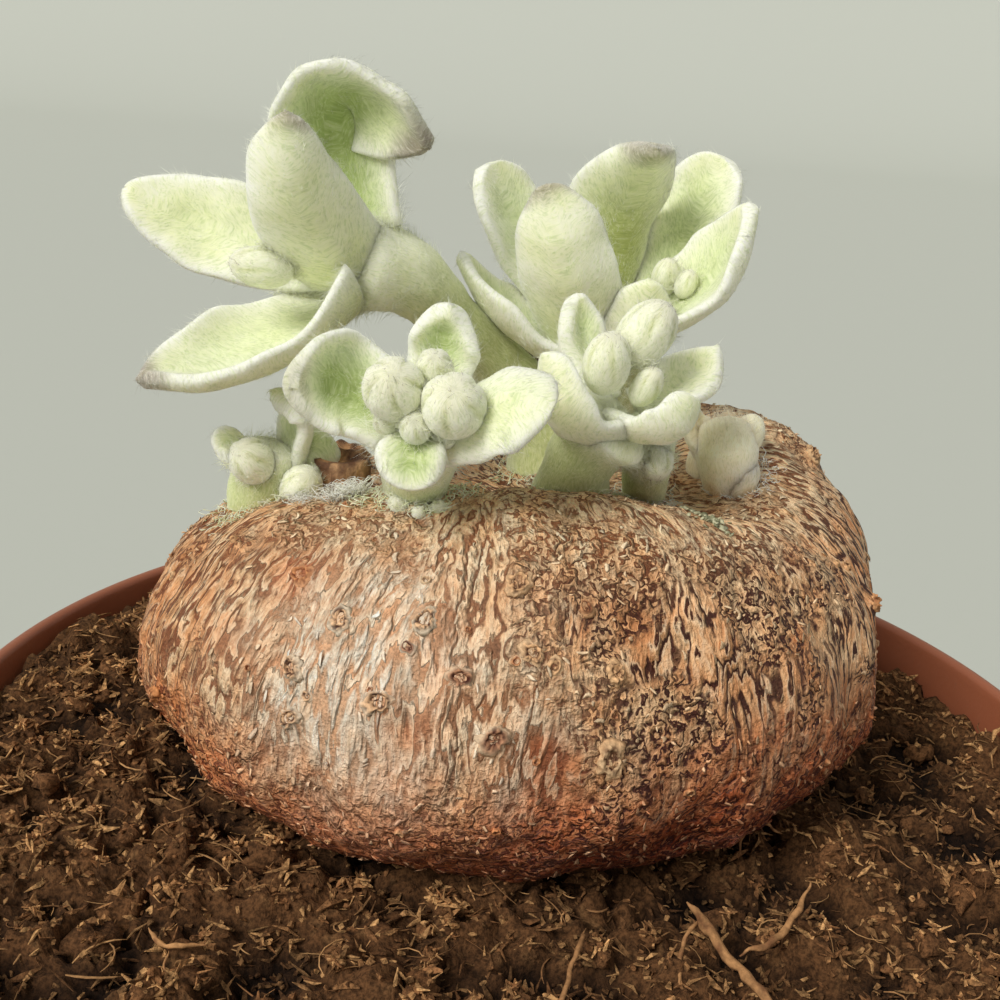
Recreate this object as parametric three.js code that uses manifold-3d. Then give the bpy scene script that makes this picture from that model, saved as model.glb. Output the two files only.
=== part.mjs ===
// A potted caudex plant: a brown, scaly, rounded caudex sunk a little way into
// dark crumbly soil in a plain plastic pot, with woolly leafy shoots on its crown.
// Millimetres, +Z up, the middle of the pot's foot at the origin.
// The front of the plant faces -Y.
import * as THREE from 'three';
import { mergeVertices } from 'three/addons/utils/BufferGeometryUtils.js';
import Module from 'manifold-3d';

// Pot
const POT_HEIGHT = 82;
const RIM_RADIUS = 55;
const RIM_INNER = 53.5;
const RIM_BAND = 10;
const FOOT_RADIUS = 39;
const WALL = 1.6;
const FLOOR_TOP = 3.4;
const DRAIN_HOLES = 6;
const DRAIN_RADIUS = 3.5;
const DRAIN_CIRCLE = 27;

// Soil
const SOIL_LEVEL = 78.6;
const SOIL_RINGS = 9;
const SOIL_SIDES = 40;
const CRUMBS = 44;
const CRUMB_SEED = 41;

// Caudex: how far it is turned, half widths, height above and below its widest level
const CAUDEX_AT = [-1, 4.5, 91];
const CAUDEX_TURN = 20;
const CAUDEX_HALF_WIDTH = 35.1;
const CAUDEX_HALF_DEPTH = 30.2;
const CAUDEX_RISE = 22;
const CAUDEX_DROP = 17;
const CAUDEX_DETAIL = 11;
const BARK_RELIEF = 0.35;

// Clearance kept between pieces that touch
const CLEARANCE = 0.3;

// Plan of the crown: height, middle x and y, spread along x and y
const CROWN_FORMS = [
  [4, 24, 14, 9, 10],
  [1, 8, -16, 13, 8],
  [-9, -8, 7, 14, 10],
  [-3.5, 1, -5, 16, 6],
  [-2.5, 15, -3, 5, 6],
];

// Knobs and old scars on the bark: latitude and longitude in degrees, radius, height
const KNOBS = [
  [19, -139, 1.6, 0.9], [30, -134, 1.7, 0.8], [33, -122, 1.7, 0.8], [10, -138, 1.6, 0.8],
  [17, -125, 1.9, 0.9], [23, -115, 1.5, 0.8], [28, -106, 1.6, 0.8], [24, -95, 1.5, 0.8],
  [9, -96, 2.8, 1.2], [41, -109, 1.7, 0.9], [12, -110, 1.9, 0.9], [36, -146, 1.8, 0.9],
  [19, 168, 1.4, 1.3], [-1, -169, 1.5, 1.2], [43, -8, 1.7, 1.4], [21, -36, 1.5, 1.3],
  [30, 140, 1.9, 0.9], [12, 110, 2.2, 1.0], [22, 80, 1.8, 0.9], [8, 55, 2.0, 1.0],
  [30, 45, 1.7, 0.9], [5, 145, 1.9, 0.9], [12, 12, 1.9, 0.9], [36, 100, 1.8, 0.9],
];

// Stumps of old shoots on the crown: foot, top, foot radius, top radius
const STUMPS = [
  [[-18, -1.5, 103], [-18.2, -1.5, 109], 3.1, 2.4],
  [[-19, 14, 97], [-20, 15, 104.5], 3.0, 2.1],
  [[12, 25, 100], [12.6, 26, 109], 3.1, 2.1],
  [[19.5, 12.5, 104], [20.2, 13.2, 111], 2.3, 1.7],
];

// Mesh fineness
const LEAF_SIDES = 8;
const LEAF_STEPS = 6;
const STEM_SIDES = 10;
const BUD_SIDES = 8;

// Shoots. A leaf runs from root to tip, bowed at its middle by bow; face is the
// way its upper side looks, cup the half angle of its trough in degrees, peak
// the place of its greatest width, base its width at the root as a share of
// wide, blunt how round its end is. One that curls in its own plane has edge,
// and twist turns its root by some degrees.
// A stem has points and radii along it.
const SHOOTS = {
  tall_shoot: {
    stem: [[[0.5, 14.5, 99], [0.2, 14, 108.5], [-4.9, 12.5, 114.6], [-9.6, 9, 119.7], [-13.6, 5.5, 124],
      [-18.5, 2.8, 125.4]], [4.6, 3.7, 2.9, 2.7, 3.4, 4.3]],
    leaves: [
      { root: [-18, 1.6, 124.8], tip: [-22.8, -6, 138.2], bow: [-1, -2, -0.5],
        face: [-0.4, 0.85, 0.25], wide: 9.6, cup: 50, peak: 0.28, base: 0.95, blunt: 0.7 },
      { root: [-18, 2.4, 121.8], tip: [-33.9, -9, 116.8], bow: [0.8, 0, -1.8], twist: -42,
        face: [0.1, -0.3, 0.9], wide: 13, cup: 66, peak: 0.3, base: 0.95, blunt: 0.75 },
      { root: [-20, 5.5, 125.6], tip: [-38.8, 6, 129.9], bow: [0, 0.5, -1.3],
        face: [0.1, -0.9, 0.3], wide: 9, cup: 25, peak: 0.5, base: 0.75, blunt: 0.6 },
      { root: [-18, 5, 127.5], tip: [-11.8, 0.5, 135.6], bow: [-5.2, 1, 7.4], edge: true,
        face: [0.2, -0.75, -0.65], wide: 12.5, cup: 50, peak: 0.45, base: 0.75, blunt: 0.55 },
    ],
    buds: [[[-25.2, -2, 125.2], [-0.9, -0.3, 0.15], 1.7, 2.7]],
  },
  back_rosette: {
    stem: [[[5.5, 17.5, 99], [5.5, 17, 109], [5, 15.5, 114.5], [5.5, 14.5, 119], [6.5, 14.5, 122]],
      [4.2, 3.8, 4.3, 5.8, 6.2]],
    leaves: [
      { root: [3.4, 11, 117.5], tip: [-2, 6, 133], bow: [-0.3, -2.5, 0],
        face: [0.1, 0.95, 0.2], wide: 9.8, cup: 45, peak: 0.4, base: 0.85, blunt: 0.5 },
      { root: [2, 15.5, 118], tip: [-7.6, 17, 133.2], bow: [-0.8, 0.5, 0],
        face: [0.6, -0.6, 0.4], wide: 9.5, cup: 40, peak: 0.65, base: 0.65, blunt: 0.35 },
      { root: [1.5, 10.5, 116.5], tip: [-9.2, 10.5, 125.8], bow: [-0.8, -0.5, -1.2],
        face: [0.6, -0.1, 0.8], wide: 8.5, cup: 55, peak: 0.4, base: 0.85, blunt: 0.7 },
      { root: [5, 16, 119], tip: [7.8, 10.6, 136.4], bow: [-0.8, 2.4, 1.2],
        face: [-0.35, 0.75, 0.55], wide: 12, cup: 55, peak: 0.6, base: 0.6, blunt: 0.7 },
      { root: [8.5, 17, 120.5], tip: [15, 20, 135.5], bow: [1, 1, 0],
        face: [-0.5, -0.8, 0.3], wide: 9, cup: 35, peak: 0.6, base: 0.55, blunt: 0.4 },
      { root: [7.5, 12, 119.5], tip: [16.5, 9, 132.5], bow: [2.2, -0.5, -1.5],
        face: [-0.75, -0.35, 0.6], wide: 11.2, cup: 55, peak: 0.5, base: 0.65, blunt: 0.7 },
      { root: [5.5, 10.5, 118], tip: [8, 7.5, 125.2], bow: [0.3, -1, -0.5],
        face: [-0.1, 0.95, 0.3], wide: 7.5, cup: 40, peak: 0.4, base: 0.8, blunt: 0.7 },
    ],
    buds: [[[10, 12, 124.6], [0.1, -0.3, 0.9], 1.3, 2.0],
      [[11.8, 10.5, 124.4], [0.3, -0.3, 0.9], 1.0, 1.5]],
  },
  front_rosette: {
    stem: [[[-11, -3, 99], [-11, -6, 106], [-11, -9, 109.5], [-10.7, -12, 113], [-10.3, -13.5, 115.8]],
      [4.0, 3.0, 2.7, 3.2, 4.2]],
    leaves: [
      { root: [-12, -13.5, 115.8], tip: [-20, -17, 119.1], bow: [-0.6, 2.2, 0.7],
        face: [0.5, -0.75, 0.45], wide: 9, cup: 50, peak: 0.6, base: 0.65, blunt: 0.38 },
      { root: [-9.2, -12.5, 118.5], tip: [-8.5, -13.5, 125.6], bow: [-0.2, 1.4, 0],
        face: [-0.1, -0.95, 0.1], wide: 5.6, cup: 50, peak: 0.4, base: 0.8, blunt: 0.8 },
      { root: [-8.6, -14.2, 115.9], tip: [-0.7, -18.5, 119.2], bow: [0.4, -0.8, 1.5],
        face: [0.05, -0.7, 0.7], wide: 8.2, cup: -30, peak: 0.5, base: 0.75, blunt: 0.42 },
      { root: [-10.8, -15.6, 115.6], tip: [-10.6, -19, 112.6], bow: [0, -0.8, 0.8],
        face: [0, -0.75, 0.6], wide: 4.8, cup: 25, peak: 0.5, base: 0.85, blunt: 0.45 },
    ],
    buds: [[[-12.3, -17.2, 119.8], [0, -0.75, 0.65], 2.3, 2.6],
      [[-7.8, -18.0, 119.1], [0, -0.75, 0.65], 2.4, 2.7],
      [[-9.5, -15.8, 121.2], [0, -0.75, 0.65], 1.4, 1.8],
      [[-10.5, -18, 117.2], [0, -0.75, 0.65], 1.2, 1.5],
      [[-8.4, -16.8, 116.4], [0.1, -0.8, 0.5], 1.0, 1.3],
      [[-12.8, -16.2, 116.9], [-0.3, -0.7, 0.6], 1.0, 1.3]],
  },
  side_rosette: {
    stem: [[[2.2, 0.5, 100], [2.2, -2, 106.5], [2.5, -4, 110.5], [3.6, -5, 113.5], [5.3, -5.8, 115.6]],
      [4.2, 3.6, 2.9, 3.3, 4.3]],
    fork: [[[9.4, 4.5, 100], [9.2, 2.5, 106], [8.8, -1, 110], [7.6, -3.6, 113.8]], [2.4, 2.0, 2.1, 3.0]],
    leaves: [
      { root: [4.2, -3, 116], tip: [1.1, -1, 124.9], bow: [-0.6, 0.4, 0],
        face: [0.55, -0.75, 0.3], wide: 4.6, cup: 50, peak: 0.5, base: 0.8, blunt: 0.5 },
      { root: [5.5, -5.5, 114.5], tip: [-0.8, -9, 121.6], bow: [-1.5, -2, -2],
        face: [0.5, 0.45, 0.7], wide: 7, cup: 55, peak: 0.5, base: 0.85, blunt: 0.45 },
      { root: [5.5, -5.5, 115.1], tip: [10.6, -9, 118.8], bow: [1, -1.8, -1.1],
        face: [-0.2, 0.45, 0.85], wide: 6, cup: 55, peak: 0.5, base: 0.85, blunt: 0.42 },
      { root: [7, -4, 116], tip: [13.3, -2, 121.8], bow: [0.5, 0, -0.5],
        face: [-0.35, -0.7, 0.6], wide: 5.2, cup: 15, peak: 0.5, base: 0.8, blunt: 0.9 },
    ],
    buds: [[[3.8, -8, 120.7], [0.05, -0.4, 0.9], 1.9, 2.9], [[6.8, -6, 122.9], [0.5, -0.2, 0.85], 2.2, 3.2],
      [[7.2, -7.4, 118.9], [0.35, -0.4, 0.85], 1.2, 2.0],
      [[9.1, -4.2, 111.7], [0.1, -0.6, -0.5], 1.5, 1.8]],
  },
  small_shoot: {
    stem: [[[-24.5, 0, 97], [-25, -1, 104], [-24.5, -2, 107.5], [-24, -2, 110]], [3.8, 3.3, 3.0, 2.5]],
    leaves: [
      { root: [-22.4, -1.5, 108.5], tip: [-24, -4, 114.5], bow: [1.5, 0, 2],
        face: [-0.7, -0.5, 0.2], wide: 5.8, cup: 45, peak: 0.5, base: 0.8, blunt: 0.35 },
      { root: [-25, -2.5, 107.5], tip: [-28.5, -5, 109.5], bow: [0, 0, 1],
        face: [0.2, -0.2, 0.9], wide: 4.6, cup: 45, peak: 0.5, base: 0.85, blunt: 0.4 },
      { root: [-23, -1, 108.5], tip: [-19, 0, 108.5], bow: [0.5, -0.5, 1],
        face: [0, -0.5, 0.8], wide: 6.0, cup: -40, peak: 0.5, base: 0.8, blunt: 0.4 },
    ],
    buds: [[[-21.2, -4.2, 106.8], [0.3, -0.4, 0.6], 1.8, 2.4],
      [[-25.4, -4.6, 109], [-0.3, -0.6, 0.6], 1.9, 2.4]],
  },
  dry_shoot: {
    stem: [[[18, 7, 100], [18, 5, 105], [17, 4, 108], [16.5, 4, 110.5], [16, 5, 113.5]],
      [2.1, 1.9, 2.5, 3.0, 2.1]],
    leaves: [
      { root: [16, 5, 108.5], tip: [13.6, 7, 113.5], bow: [-1, 0, 0.5],
        face: [0.7, -0.5, 0.2], wide: 4.4, cup: 50, peak: 0.5, base: 0.8, blunt: 0.4 },
    ],
    buds: [[[18.7, 6.4, 111.5], [0.3, 0.2, 0.9], 1.5, 2.1],
      [[17.8, 3.2, 108.3], [0.2, 0, 0.9], 1.8, 2.5], [[15, 6.2, 109], [0.2, 0, 0.9], 1.6, 2.7]],
  },
  dry_stalk: {
    stem: [[[0.6, 21.5, 98], [0.4, 21, 106.5], [-0.9, 20.5, 111.8], [-4.4, 18.5, 117.5]],
      [1.6, 1.5, 1.3, 1.0]],
    leaves: [],
    buds: [],
  },
};

// What each shoot is cut clear of, so that neighbours don't run into each other
const CLEAR_OF = {
  tall_shoot: [],
  back_rosette: ['tall_shoot'],
  front_rosette: ['tall_shoot'],
  side_rosette: ['tall_shoot', 'back_rosette', 'front_rosette'],
  small_shoot: ['tall_shoot', 'front_rosette'],
  dry_shoot: ['back_rosette', 'side_rosette'],
  dry_stalk: ['tall_shoot', 'back_rosette'],
};

const COLOURS = {
  pot: 0x9c5b3a, soil: 0x3a2417, caudex: 0xa07a58, dry_shoot: 0xd7caa9, dry_stalk: 0x6f4230,
  tall_shoot: 0xd3dca8, back_rosette: 0xcfd9a2, front_rosette: 0xd6deb0,
  side_rosette: 0xd9dfbb, small_shoot: 0xd2dab4,
};

const wasm = await Module();
wasm.setup();

const vec = (a) => new THREE.Vector3(...a);
const clamp = THREE.MathUtils.clamp;

// a small seeded generator of numbers from 0 to 1
function seeded(seed) {
  let s = seed;
  return () => {
    s = (s * 16807) % 2147483647;
    return s / 2147483647;
  };
}

// moves every vertex of a geometry by a rule
function shape(geometry, rule) {
  const p = geometry.attributes.position;
  const v = new THREE.Vector3();
  for (let i = 0; i < p.count; i += 1) {
    v.fromBufferAttribute(p, i);
    rule(v);
    p.setXYZ(i, v.x, v.y, v.z);
  }
  return geometry;
}

// a geometry with its shared vertices merged, done before it is shaped
function welded(g) {
  for (const name of Object.keys(g.attributes)) if (name !== 'position') g.deleteAttribute(name);
  return mergeVertices(g, 1e-4);
}

// a closed, welded geometry as a solid that can be joined and cut
function solid(m) {
  const corners = [];
  for (let i = 0; i < m.index.count; i += 3) {
    const [a, b, c] = [m.index.getX(i), m.index.getX(i + 1), m.index.getX(i + 2)];
    if (a !== b && b !== c && a !== c) corners.push(a, b, c);
  }
  return new wasm.Manifold(new wasm.Mesh({
    numProp: 3,
    vertProperties: new Float32Array(m.attributes.position.array),
    triVerts: new Uint32Array(corners),
  }));
}

// the largest body of a solid that a cut may have left in several
function largest(body) {
  const bodies = body.decompose();
  return bodies.reduce((a, b) => (b.volume() > a.volume() ? b : a));
}

// a named mesh from a solid
function piece(name, body, roughness) {
  const mesh = body.getMesh();
  const g = new THREE.BufferGeometry();
  g.setAttribute('position', new THREE.BufferAttribute(new Float32Array(mesh.vertProperties), 3));
  g.setIndex(new THREE.BufferAttribute(new Uint32Array(mesh.triVerts), 1));
  g.computeVertexNormals();
  const material = new THREE.MeshStandardMaterial({ color: COLOURS[name], roughness, metalness: 0 });
  const node = new THREE.Mesh(g, material);
  node.name = name;
  return node;
}

// the pot: a turned wall with a rim band, a raised floor and drain holes
function pot() {
  const top = POT_HEIGHT;
  const band = top - RIM_BAND;
  const neck = RIM_RADIUS - 1.8;
  const outline = [
    [0, FLOOR_TOP], [FOOT_RADIUS - 4.5, FLOOR_TOP], [FOOT_RADIUS - 2, FLOOR_TOP + 1.6],
    [neck - WALL - 0.4, band - 2], [RIM_INNER, top - 0.6],
    [RIM_INNER + 0.4, top], [RIM_RADIUS - 0.4, top], [RIM_RADIUS, top - 0.4],
    [RIM_RADIUS, band + 0.5], [RIM_RADIUS - 0.5, band], [neck, band - 0.6],
    [FOOT_RADIUS, 0.6], [FOOT_RADIUS - 0.6, 0], [FOOT_RADIUS - 2.6, 0],
    [FOOT_RADIUS - 3.4, 1.4], [0, 1.4],
  ].reverse();
  const turned = welded(new THREE.LatheGeometry(outline.map(([r, z]) => new THREE.Vector2(r, z)), 40));
  turned.rotateX(Math.PI / 2);
  let body = solid(turned);
  for (let k = 0; k < DRAIN_HOLES; k += 1) {
    const a = (k + 0.5) * 2 * Math.PI / DRAIN_HOLES;
    const hole = welded(new THREE.CylinderGeometry(DRAIN_RADIUS, DRAIN_RADIUS, 6, 12));
    hole.rotateX(Math.PI / 2).translate(DRAIN_CIRCLE * Math.cos(a), DRAIN_CIRCLE * Math.sin(a), 2);
    body = body.subtract(solid(hole));
  }
  return body;
}

// soft lumps over the soil
function soilHeight(x, y) {
  const lumps = Math.sin(0.31 * x + 1.1) * Math.cos(0.27 * y - 0.6)
    + 0.6 * Math.sin(0.62 * y + 0.35 * x + 2.0) + 0.4 * Math.sin(0.9 * x - 0.5 * y);
  return SOIL_LEVEL - 0.036 * x + 0.45 * lumps;
}

// the soil: a plug that fills the pot, its top lumpy, with crumbs standing on it
function soil() {
  const gap = CLEARANCE;
  const low = FLOOR_TOP + gap;
  const neck = POT_HEIGHT - RIM_BAND - 2;
  const [foot, middle] = [FOOT_RADIUS - 2.2, RIM_RADIUS - 2.2 - WALL];
  const wall = (z) => (z < neck
    ? foot + (middle - foot) * (z - FLOOR_TOP) / (neck - FLOOR_TOP)
    : middle + (RIM_INNER - middle) * (z - neck) / (POT_HEIGHT - 0.6 - neck)) - gap;
  const edge = wall(SOIL_LEVEL - 1.5) - 0.1;
  const outline = [[0, low], [wall(low) - 3, low], [wall(low + 2), low + 2],
    [wall(neck), neck]];
  for (let k = 0; k <= SOIL_RINGS; k += 1) outline.push([edge * (1 - k / SOIL_RINGS), SOIL_LEVEL]);
  const plug = welded(new THREE.LatheGeometry(outline.map(([r, z]) => new THREE.Vector2(r, z)), SOIL_SIDES));
  plug.rotateX(Math.PI / 2);
  shape(plug, (v) => {
    if (v.z > SOIL_LEVEL - 0.5) v.z = soilHeight(v.x, v.y);
  });
  let body = solid(plug);
  const random = seeded(CRUMB_SEED);
  for (let k = 0; k < CRUMBS; k += 1) {
    const a = random() * 2 * Math.PI;
    const r = 41 + 9.5 * Math.sqrt(random());
    const size = 0.9 + 1.5 * random() ** 2;
    const crumb = welded(new THREE.IcosahedronGeometry(size, 0));
    crumb.scale(1, 0.7 + 0.3 * random(), 0.6 + 0.3 * random()).rotateZ(3 * random());
    const [x, y] = [r * Math.cos(a), r * Math.sin(a) * 0.98];
    crumb.translate(x, y, soilHeight(x, y) + 0.25 * size);
    body = body.add(solid(crumb));
  }
  return body;
}

// the caudex's surface at a colatitude and a longitude, grown outward by grow
function caudexPoint(colatitude, longitude, grow) {
  const [s, c] = [Math.sin(colatitude), Math.cos(colatitude)];
  const [cx, sy] = [Math.cos(longitude), Math.sin(longitude)];
  const round = s ** (cx > 0 ? 0.76 : 0.88);
  const along = (CAUDEX_HALF_WIDTH + grow) * Math.sign(cx) * Math.abs(cx) ** 0.96 * round;
  const across = (CAUDEX_HALF_DEPTH + grow) * sy * s ** 0.88;
  const turn = THREE.MathUtils.degToRad(CAUDEX_TURN);
  const x = along * Math.cos(turn) - across * Math.sin(turn);
  const y = along * Math.sin(turn) + across * Math.cos(turn);
  let z = ((c > 0 ? CAUDEX_RISE : CAUDEX_DROP) + grow) * Math.sign(c) * Math.abs(c) ** 0.95;
  const rise = THREE.MathUtils.smoothstep(c, -0.2, 0.3);
  for (const [height, mx, my, sx, sy2] of CROWN_FORMS) {
    z += rise * height * Math.exp(-0.5 * (((x - mx) / sx) ** 2 + ((y - my) / sy2) ** 2));
  }
  return new THREE.Vector3(x, y, z);
}

// the rounded tuber with shallow flowing ridges
function tuber(grow, detail) {
  const ball = welded(new THREE.IcosahedronGeometry(1, detail));
  shape(ball, (v) => {
    v.normalize();
    const colatitude = Math.acos(clamp(v.z, -1, 1));
    const longitude = Math.atan2(v.y, v.x);
    const at = caudexPoint(colatitude, longitude, grow);
    const ridges = Math.sin(13 * longitude + 2.2 * Math.sin(3 * colatitude))
      + 0.7 * Math.sin(21 * longitude - 5 * colatitude) + 0.6 * Math.sin(9 * colatitude + 4 * longitude);
    v.copy(at.multiplyScalar(1 + BARK_RELIEF * Math.sin(colatitude) * ridges / 36));
  });
  return solid(ball.translate(...CAUDEX_AT));
}

// the caudex: the tuber with its knobs and old stumps
function caudex(grow) {
  let body = tuber(grow, CAUDEX_DETAIL);
  for (const [latitude, longitude, radius, height] of KNOBS) {
    const colatitude = THREE.MathUtils.degToRad(90 - latitude);
    const at = caudexPoint(colatitude, THREE.MathUtils.degToRad(longitude), 0);
    const out = at.clone().multiply(vec([1, 1.2, 1.6])).normalize();
    const knob = welded(new THREE.SphereGeometry(1, 7, 5));
    knob.scale(radius + grow, height + grow, radius * 0.85 + grow);
    knob.applyQuaternion(new THREE.Quaternion().setFromUnitVectors(vec([0, 1, 0]), out));
    body = body.add(solid(knob.translate(...at.add(vec(CAUDEX_AT)).toArray())));
  }
  for (const [foot, top, r0, r1] of STUMPS) body = body.add(solid(stem([foot, top], [r0, r1], grow)));
  return body;
}

// a stem of changing radius along a smooth line
function stem(points, radii, grow) {
  const line = new THREE.CatmullRomCurve3(points.map(vec));
  const steps = 2 * (points.length - 1);
  const g = welded(new THREE.CylinderGeometry(1, 1, 1, STEM_SIDES, steps));
  return shape(g, (v) => {
    const u = clamp(v.y + 0.5, 0, 1);
    const at = line.getPoint(u);
    const along = line.getTangent(u);
    const b = new THREE.Vector3(0, 1, 0).addScaledVector(along, -along.y).normalize();
    const a = along.clone().cross(b);
    const place = u * (radii.length - 1);
    const low = Math.min(Math.floor(place), radii.length - 2);
    const r = THREE.MathUtils.lerp(radii[low], radii[low + 1], place - low) + grow;
    v.copy(at.addScaledVector(a, v.x * r).addScaledVector(b, v.z * r));
  });
}

// half the width of a leaf at the share u of its length
function halfWidth(u, { wide, peak, base, blunt }) {
  const grown = base + (1 - base) * Math.sin(clamp(u / peak, 0, 1) * Math.PI / 2);
  const fall = clamp((u - peak) / (1 - peak), 0, 1);
  return Math.max(grown * Math.max(1 - fall ** 2.2, 0) ** blunt, 0.08) * wide / 2;
}

// a thick blade, lens-shaped across and troughed
function leaf(form, grow) {
  const [root, tip] = [vec(form.root), vec(form.tip)];
  const middle = root.clone().add(tip).multiplyScalar(0.5).addScaledVector(vec(form.bow), 2);
  const line = new THREE.QuadraticBezierCurve3(root, middle, tip);
  const flat = tip.clone().sub(root).cross(vec(form.face)).normalize();
  const bend = THREE.MathUtils.degToRad(form.cup);
  const thick = 1.8;
  const g = welded(new THREE.CylinderGeometry(1, 1, 1, LEAF_SIDES, LEAF_STEPS));
  return shape(g, (v) => {
    const u = clamp(v.y + 0.5, 0, 1);
    const at = line.getPoint(u);
    const along = line.getTangent(u);
    const side = form.edge ? along.clone().cross(vec(form.face)).normalize()
      : flat.clone().addScaledVector(along, -flat.dot(along)).normalize();
    const twist = THREE.MathUtils.degToRad(form.twist || 0) * (1 - u) ** 2;
    const up = side.clone().cross(along).applyAxisAngle(along, -twist);
    side.applyAxisAngle(along, -twist);
    const w = halfWidth(u, form);
    const turn = v.x * bend;
    const half = (thick / 2) * Math.min(1, w / (0.6 * thick)) + grow;
    const across = Math.sin(turn) / bend * w + v.x * grow;
    at.addScaledVector(side, across).addScaledVector(up, (1 - Math.cos(turn)) / bend * w);
    at.addScaledVector(up, Math.cos(turn) * v.z * half);
    v.copy(at.addScaledVector(side, -Math.sin(turn) * v.z * half));
  });
}

// an egg-shaped bud with its long way along axis
function bud([at, axis, radius, half], grow) {
  const g = welded(new THREE.SphereGeometry(1, BUD_SIDES, 7));
  g.scale(radius + grow, half + grow, radius + grow);
  g.applyQuaternion(new THREE.Quaternion().setFromUnitVectors(vec([0, 1, 0]), vec(axis).normalize()));
  return g.translate(...at);
}

// a shoot: its stem, leaves and buds joined into one body
function shoot({ stem: [points, radii], fork, leaves, buds }, grow) {
  let body = solid(stem(points, radii, grow));
  if (fork) body = body.add(solid(stem(fork[0], fork[1], grow)));
  for (const form of leaves) body = body.add(solid(leaf(form, grow)));
  for (const form of buds) body = body.add(solid(bud(form, grow)));
  return body;
}

const plant = new THREE.Group();
plant.name = 'potted_caudex';
plant.add(piece('pot', pot(), 0.5));
plant.add(piece('soil', largest(soil().subtract(tuber(CLEARANCE + 0.4, 8))), 1));
plant.add(piece('caudex', caudex(0), 0.9));
const seat = caudex(CLEARANCE);
for (const [name, form] of Object.entries(SHOOTS)) {
  let body = shoot(form, 0).subtract(seat);
  for (const other of CLEAR_OF[name]) body = body.subtract(shoot(SHOOTS[other], CLEARANCE));
  plant.add(piece(name, largest(body), 0.95));
}

export default plant;
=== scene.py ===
"""A potted caudex plant: its bark, soil, pot and woolly shoots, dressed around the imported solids.

Sizes are in millimetres in the row frame (+Z up, the plant's front towards -Y) and become
metres where a mesh is made.
"""
import math

import bmesh
import bpy
import numpy as np
from mathutils import Matrix, Vector
from mathutils.kdtree import KDTree


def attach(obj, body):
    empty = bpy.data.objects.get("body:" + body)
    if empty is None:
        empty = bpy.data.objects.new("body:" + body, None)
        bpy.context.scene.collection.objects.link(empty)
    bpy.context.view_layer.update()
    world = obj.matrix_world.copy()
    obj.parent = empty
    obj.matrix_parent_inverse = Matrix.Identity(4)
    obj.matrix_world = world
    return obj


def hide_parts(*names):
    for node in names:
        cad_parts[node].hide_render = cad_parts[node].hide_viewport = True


MM = 0.001

# Camera: millimetres, degrees
CAMERA_AT = (-3.9, -106.0, 144.1)
CAMERA_PITCH = 20
CAMERA_ROLL = -4.4
CAMERA_LENS = 45
CAMERA_SENSOR = 36

# Light: the way the soft key travels, its power and its spread, the even light of the room
KEY_WAY = (0.50, 0.55, -0.67)
KEY_POWER = 2.5
KEY_SPREAD = 24
ROOM_LIGHT = 0.42

# Pot
POT_HEIGHT = 82
RIM_RADIUS = 55
RIM_INNER = 53.5
RIM_BAND = 10
FOOT_RADIUS = 39
WALL = 1.6
FLOOR_TOP = 3.4
DRAIN_HOLES = 6
DRAIN_RADIUS = 3.5
DRAIN_CIRCLE = 27
POT_SIDES = 180

# Soil
SOIL_LEVEL = 78.6
SOIL_EDGE = 52.6
SOIL_CLEAR = 16
SOIL_SIDES = 420
CLOD_COUNT = 250
FIBRE_COUNT = 620
TWIG_STEPS = 26

# Torn bits in the soil: piece, count, sections as place and girth, half length, half width,
# half thickness, seed
SHREDS = (
    ("soil_shreds", 6600, ((-1, 0.3), (0, 1.0), (1, 0.25)),
     (0.3, 1.3), (0.08, 0.3), (0.05, 0.16), 31),
    ("soil_chips", 4800, ((-0.7, 0.8), (0.7, 0.9)),
     (0.14, 0.45), (0.1, 0.32), (0.08, 0.25), 32),
)

# Caudex: middle, turn, half widths, height above and below its widest level
CAUDEX_AT = (-1, 4.5, 91)
CAUDEX_TURN = 20
CAUDEX_HALF_WIDTH = 35.1
CAUDEX_HALF_DEPTH = 30.2
CAUDEX_RISE = 22
CAUDEX_DROP = 17
CAUDEX_SIDES = 500
BARK_RELIEF = 0.35
BARK_FROM = 78
SCALE_STRETCH = 3.1
FLAKE_COUNT = 1700
SMALL_SCARS = 60

# Section of a scar from outside in: share of its radius, share of its height
SCAR_PROFILE = ((1.4, -0.9), (1.2, -0.1), (1.05, 0.4), (0.93, 0.8), (0.82, 1.0), (0.72, 0.8),
                (0.62, 0.5), (0.52, 0.1), (0.42, -0.2), (0.3, -0.1), (0.15, 0.1))

# Plan of the crown: height, middle x and y, spread along x and y
CROWN_FORMS = (
    (4, 24, 14, 9, 10),
    (1, 8, -16, 13, 8),
    (-9, -8, 7, 14, 10),
    (-3.5, 1, -5, 16, 6),
    (-2.5, 15, -3, 5, 6),
)

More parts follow.
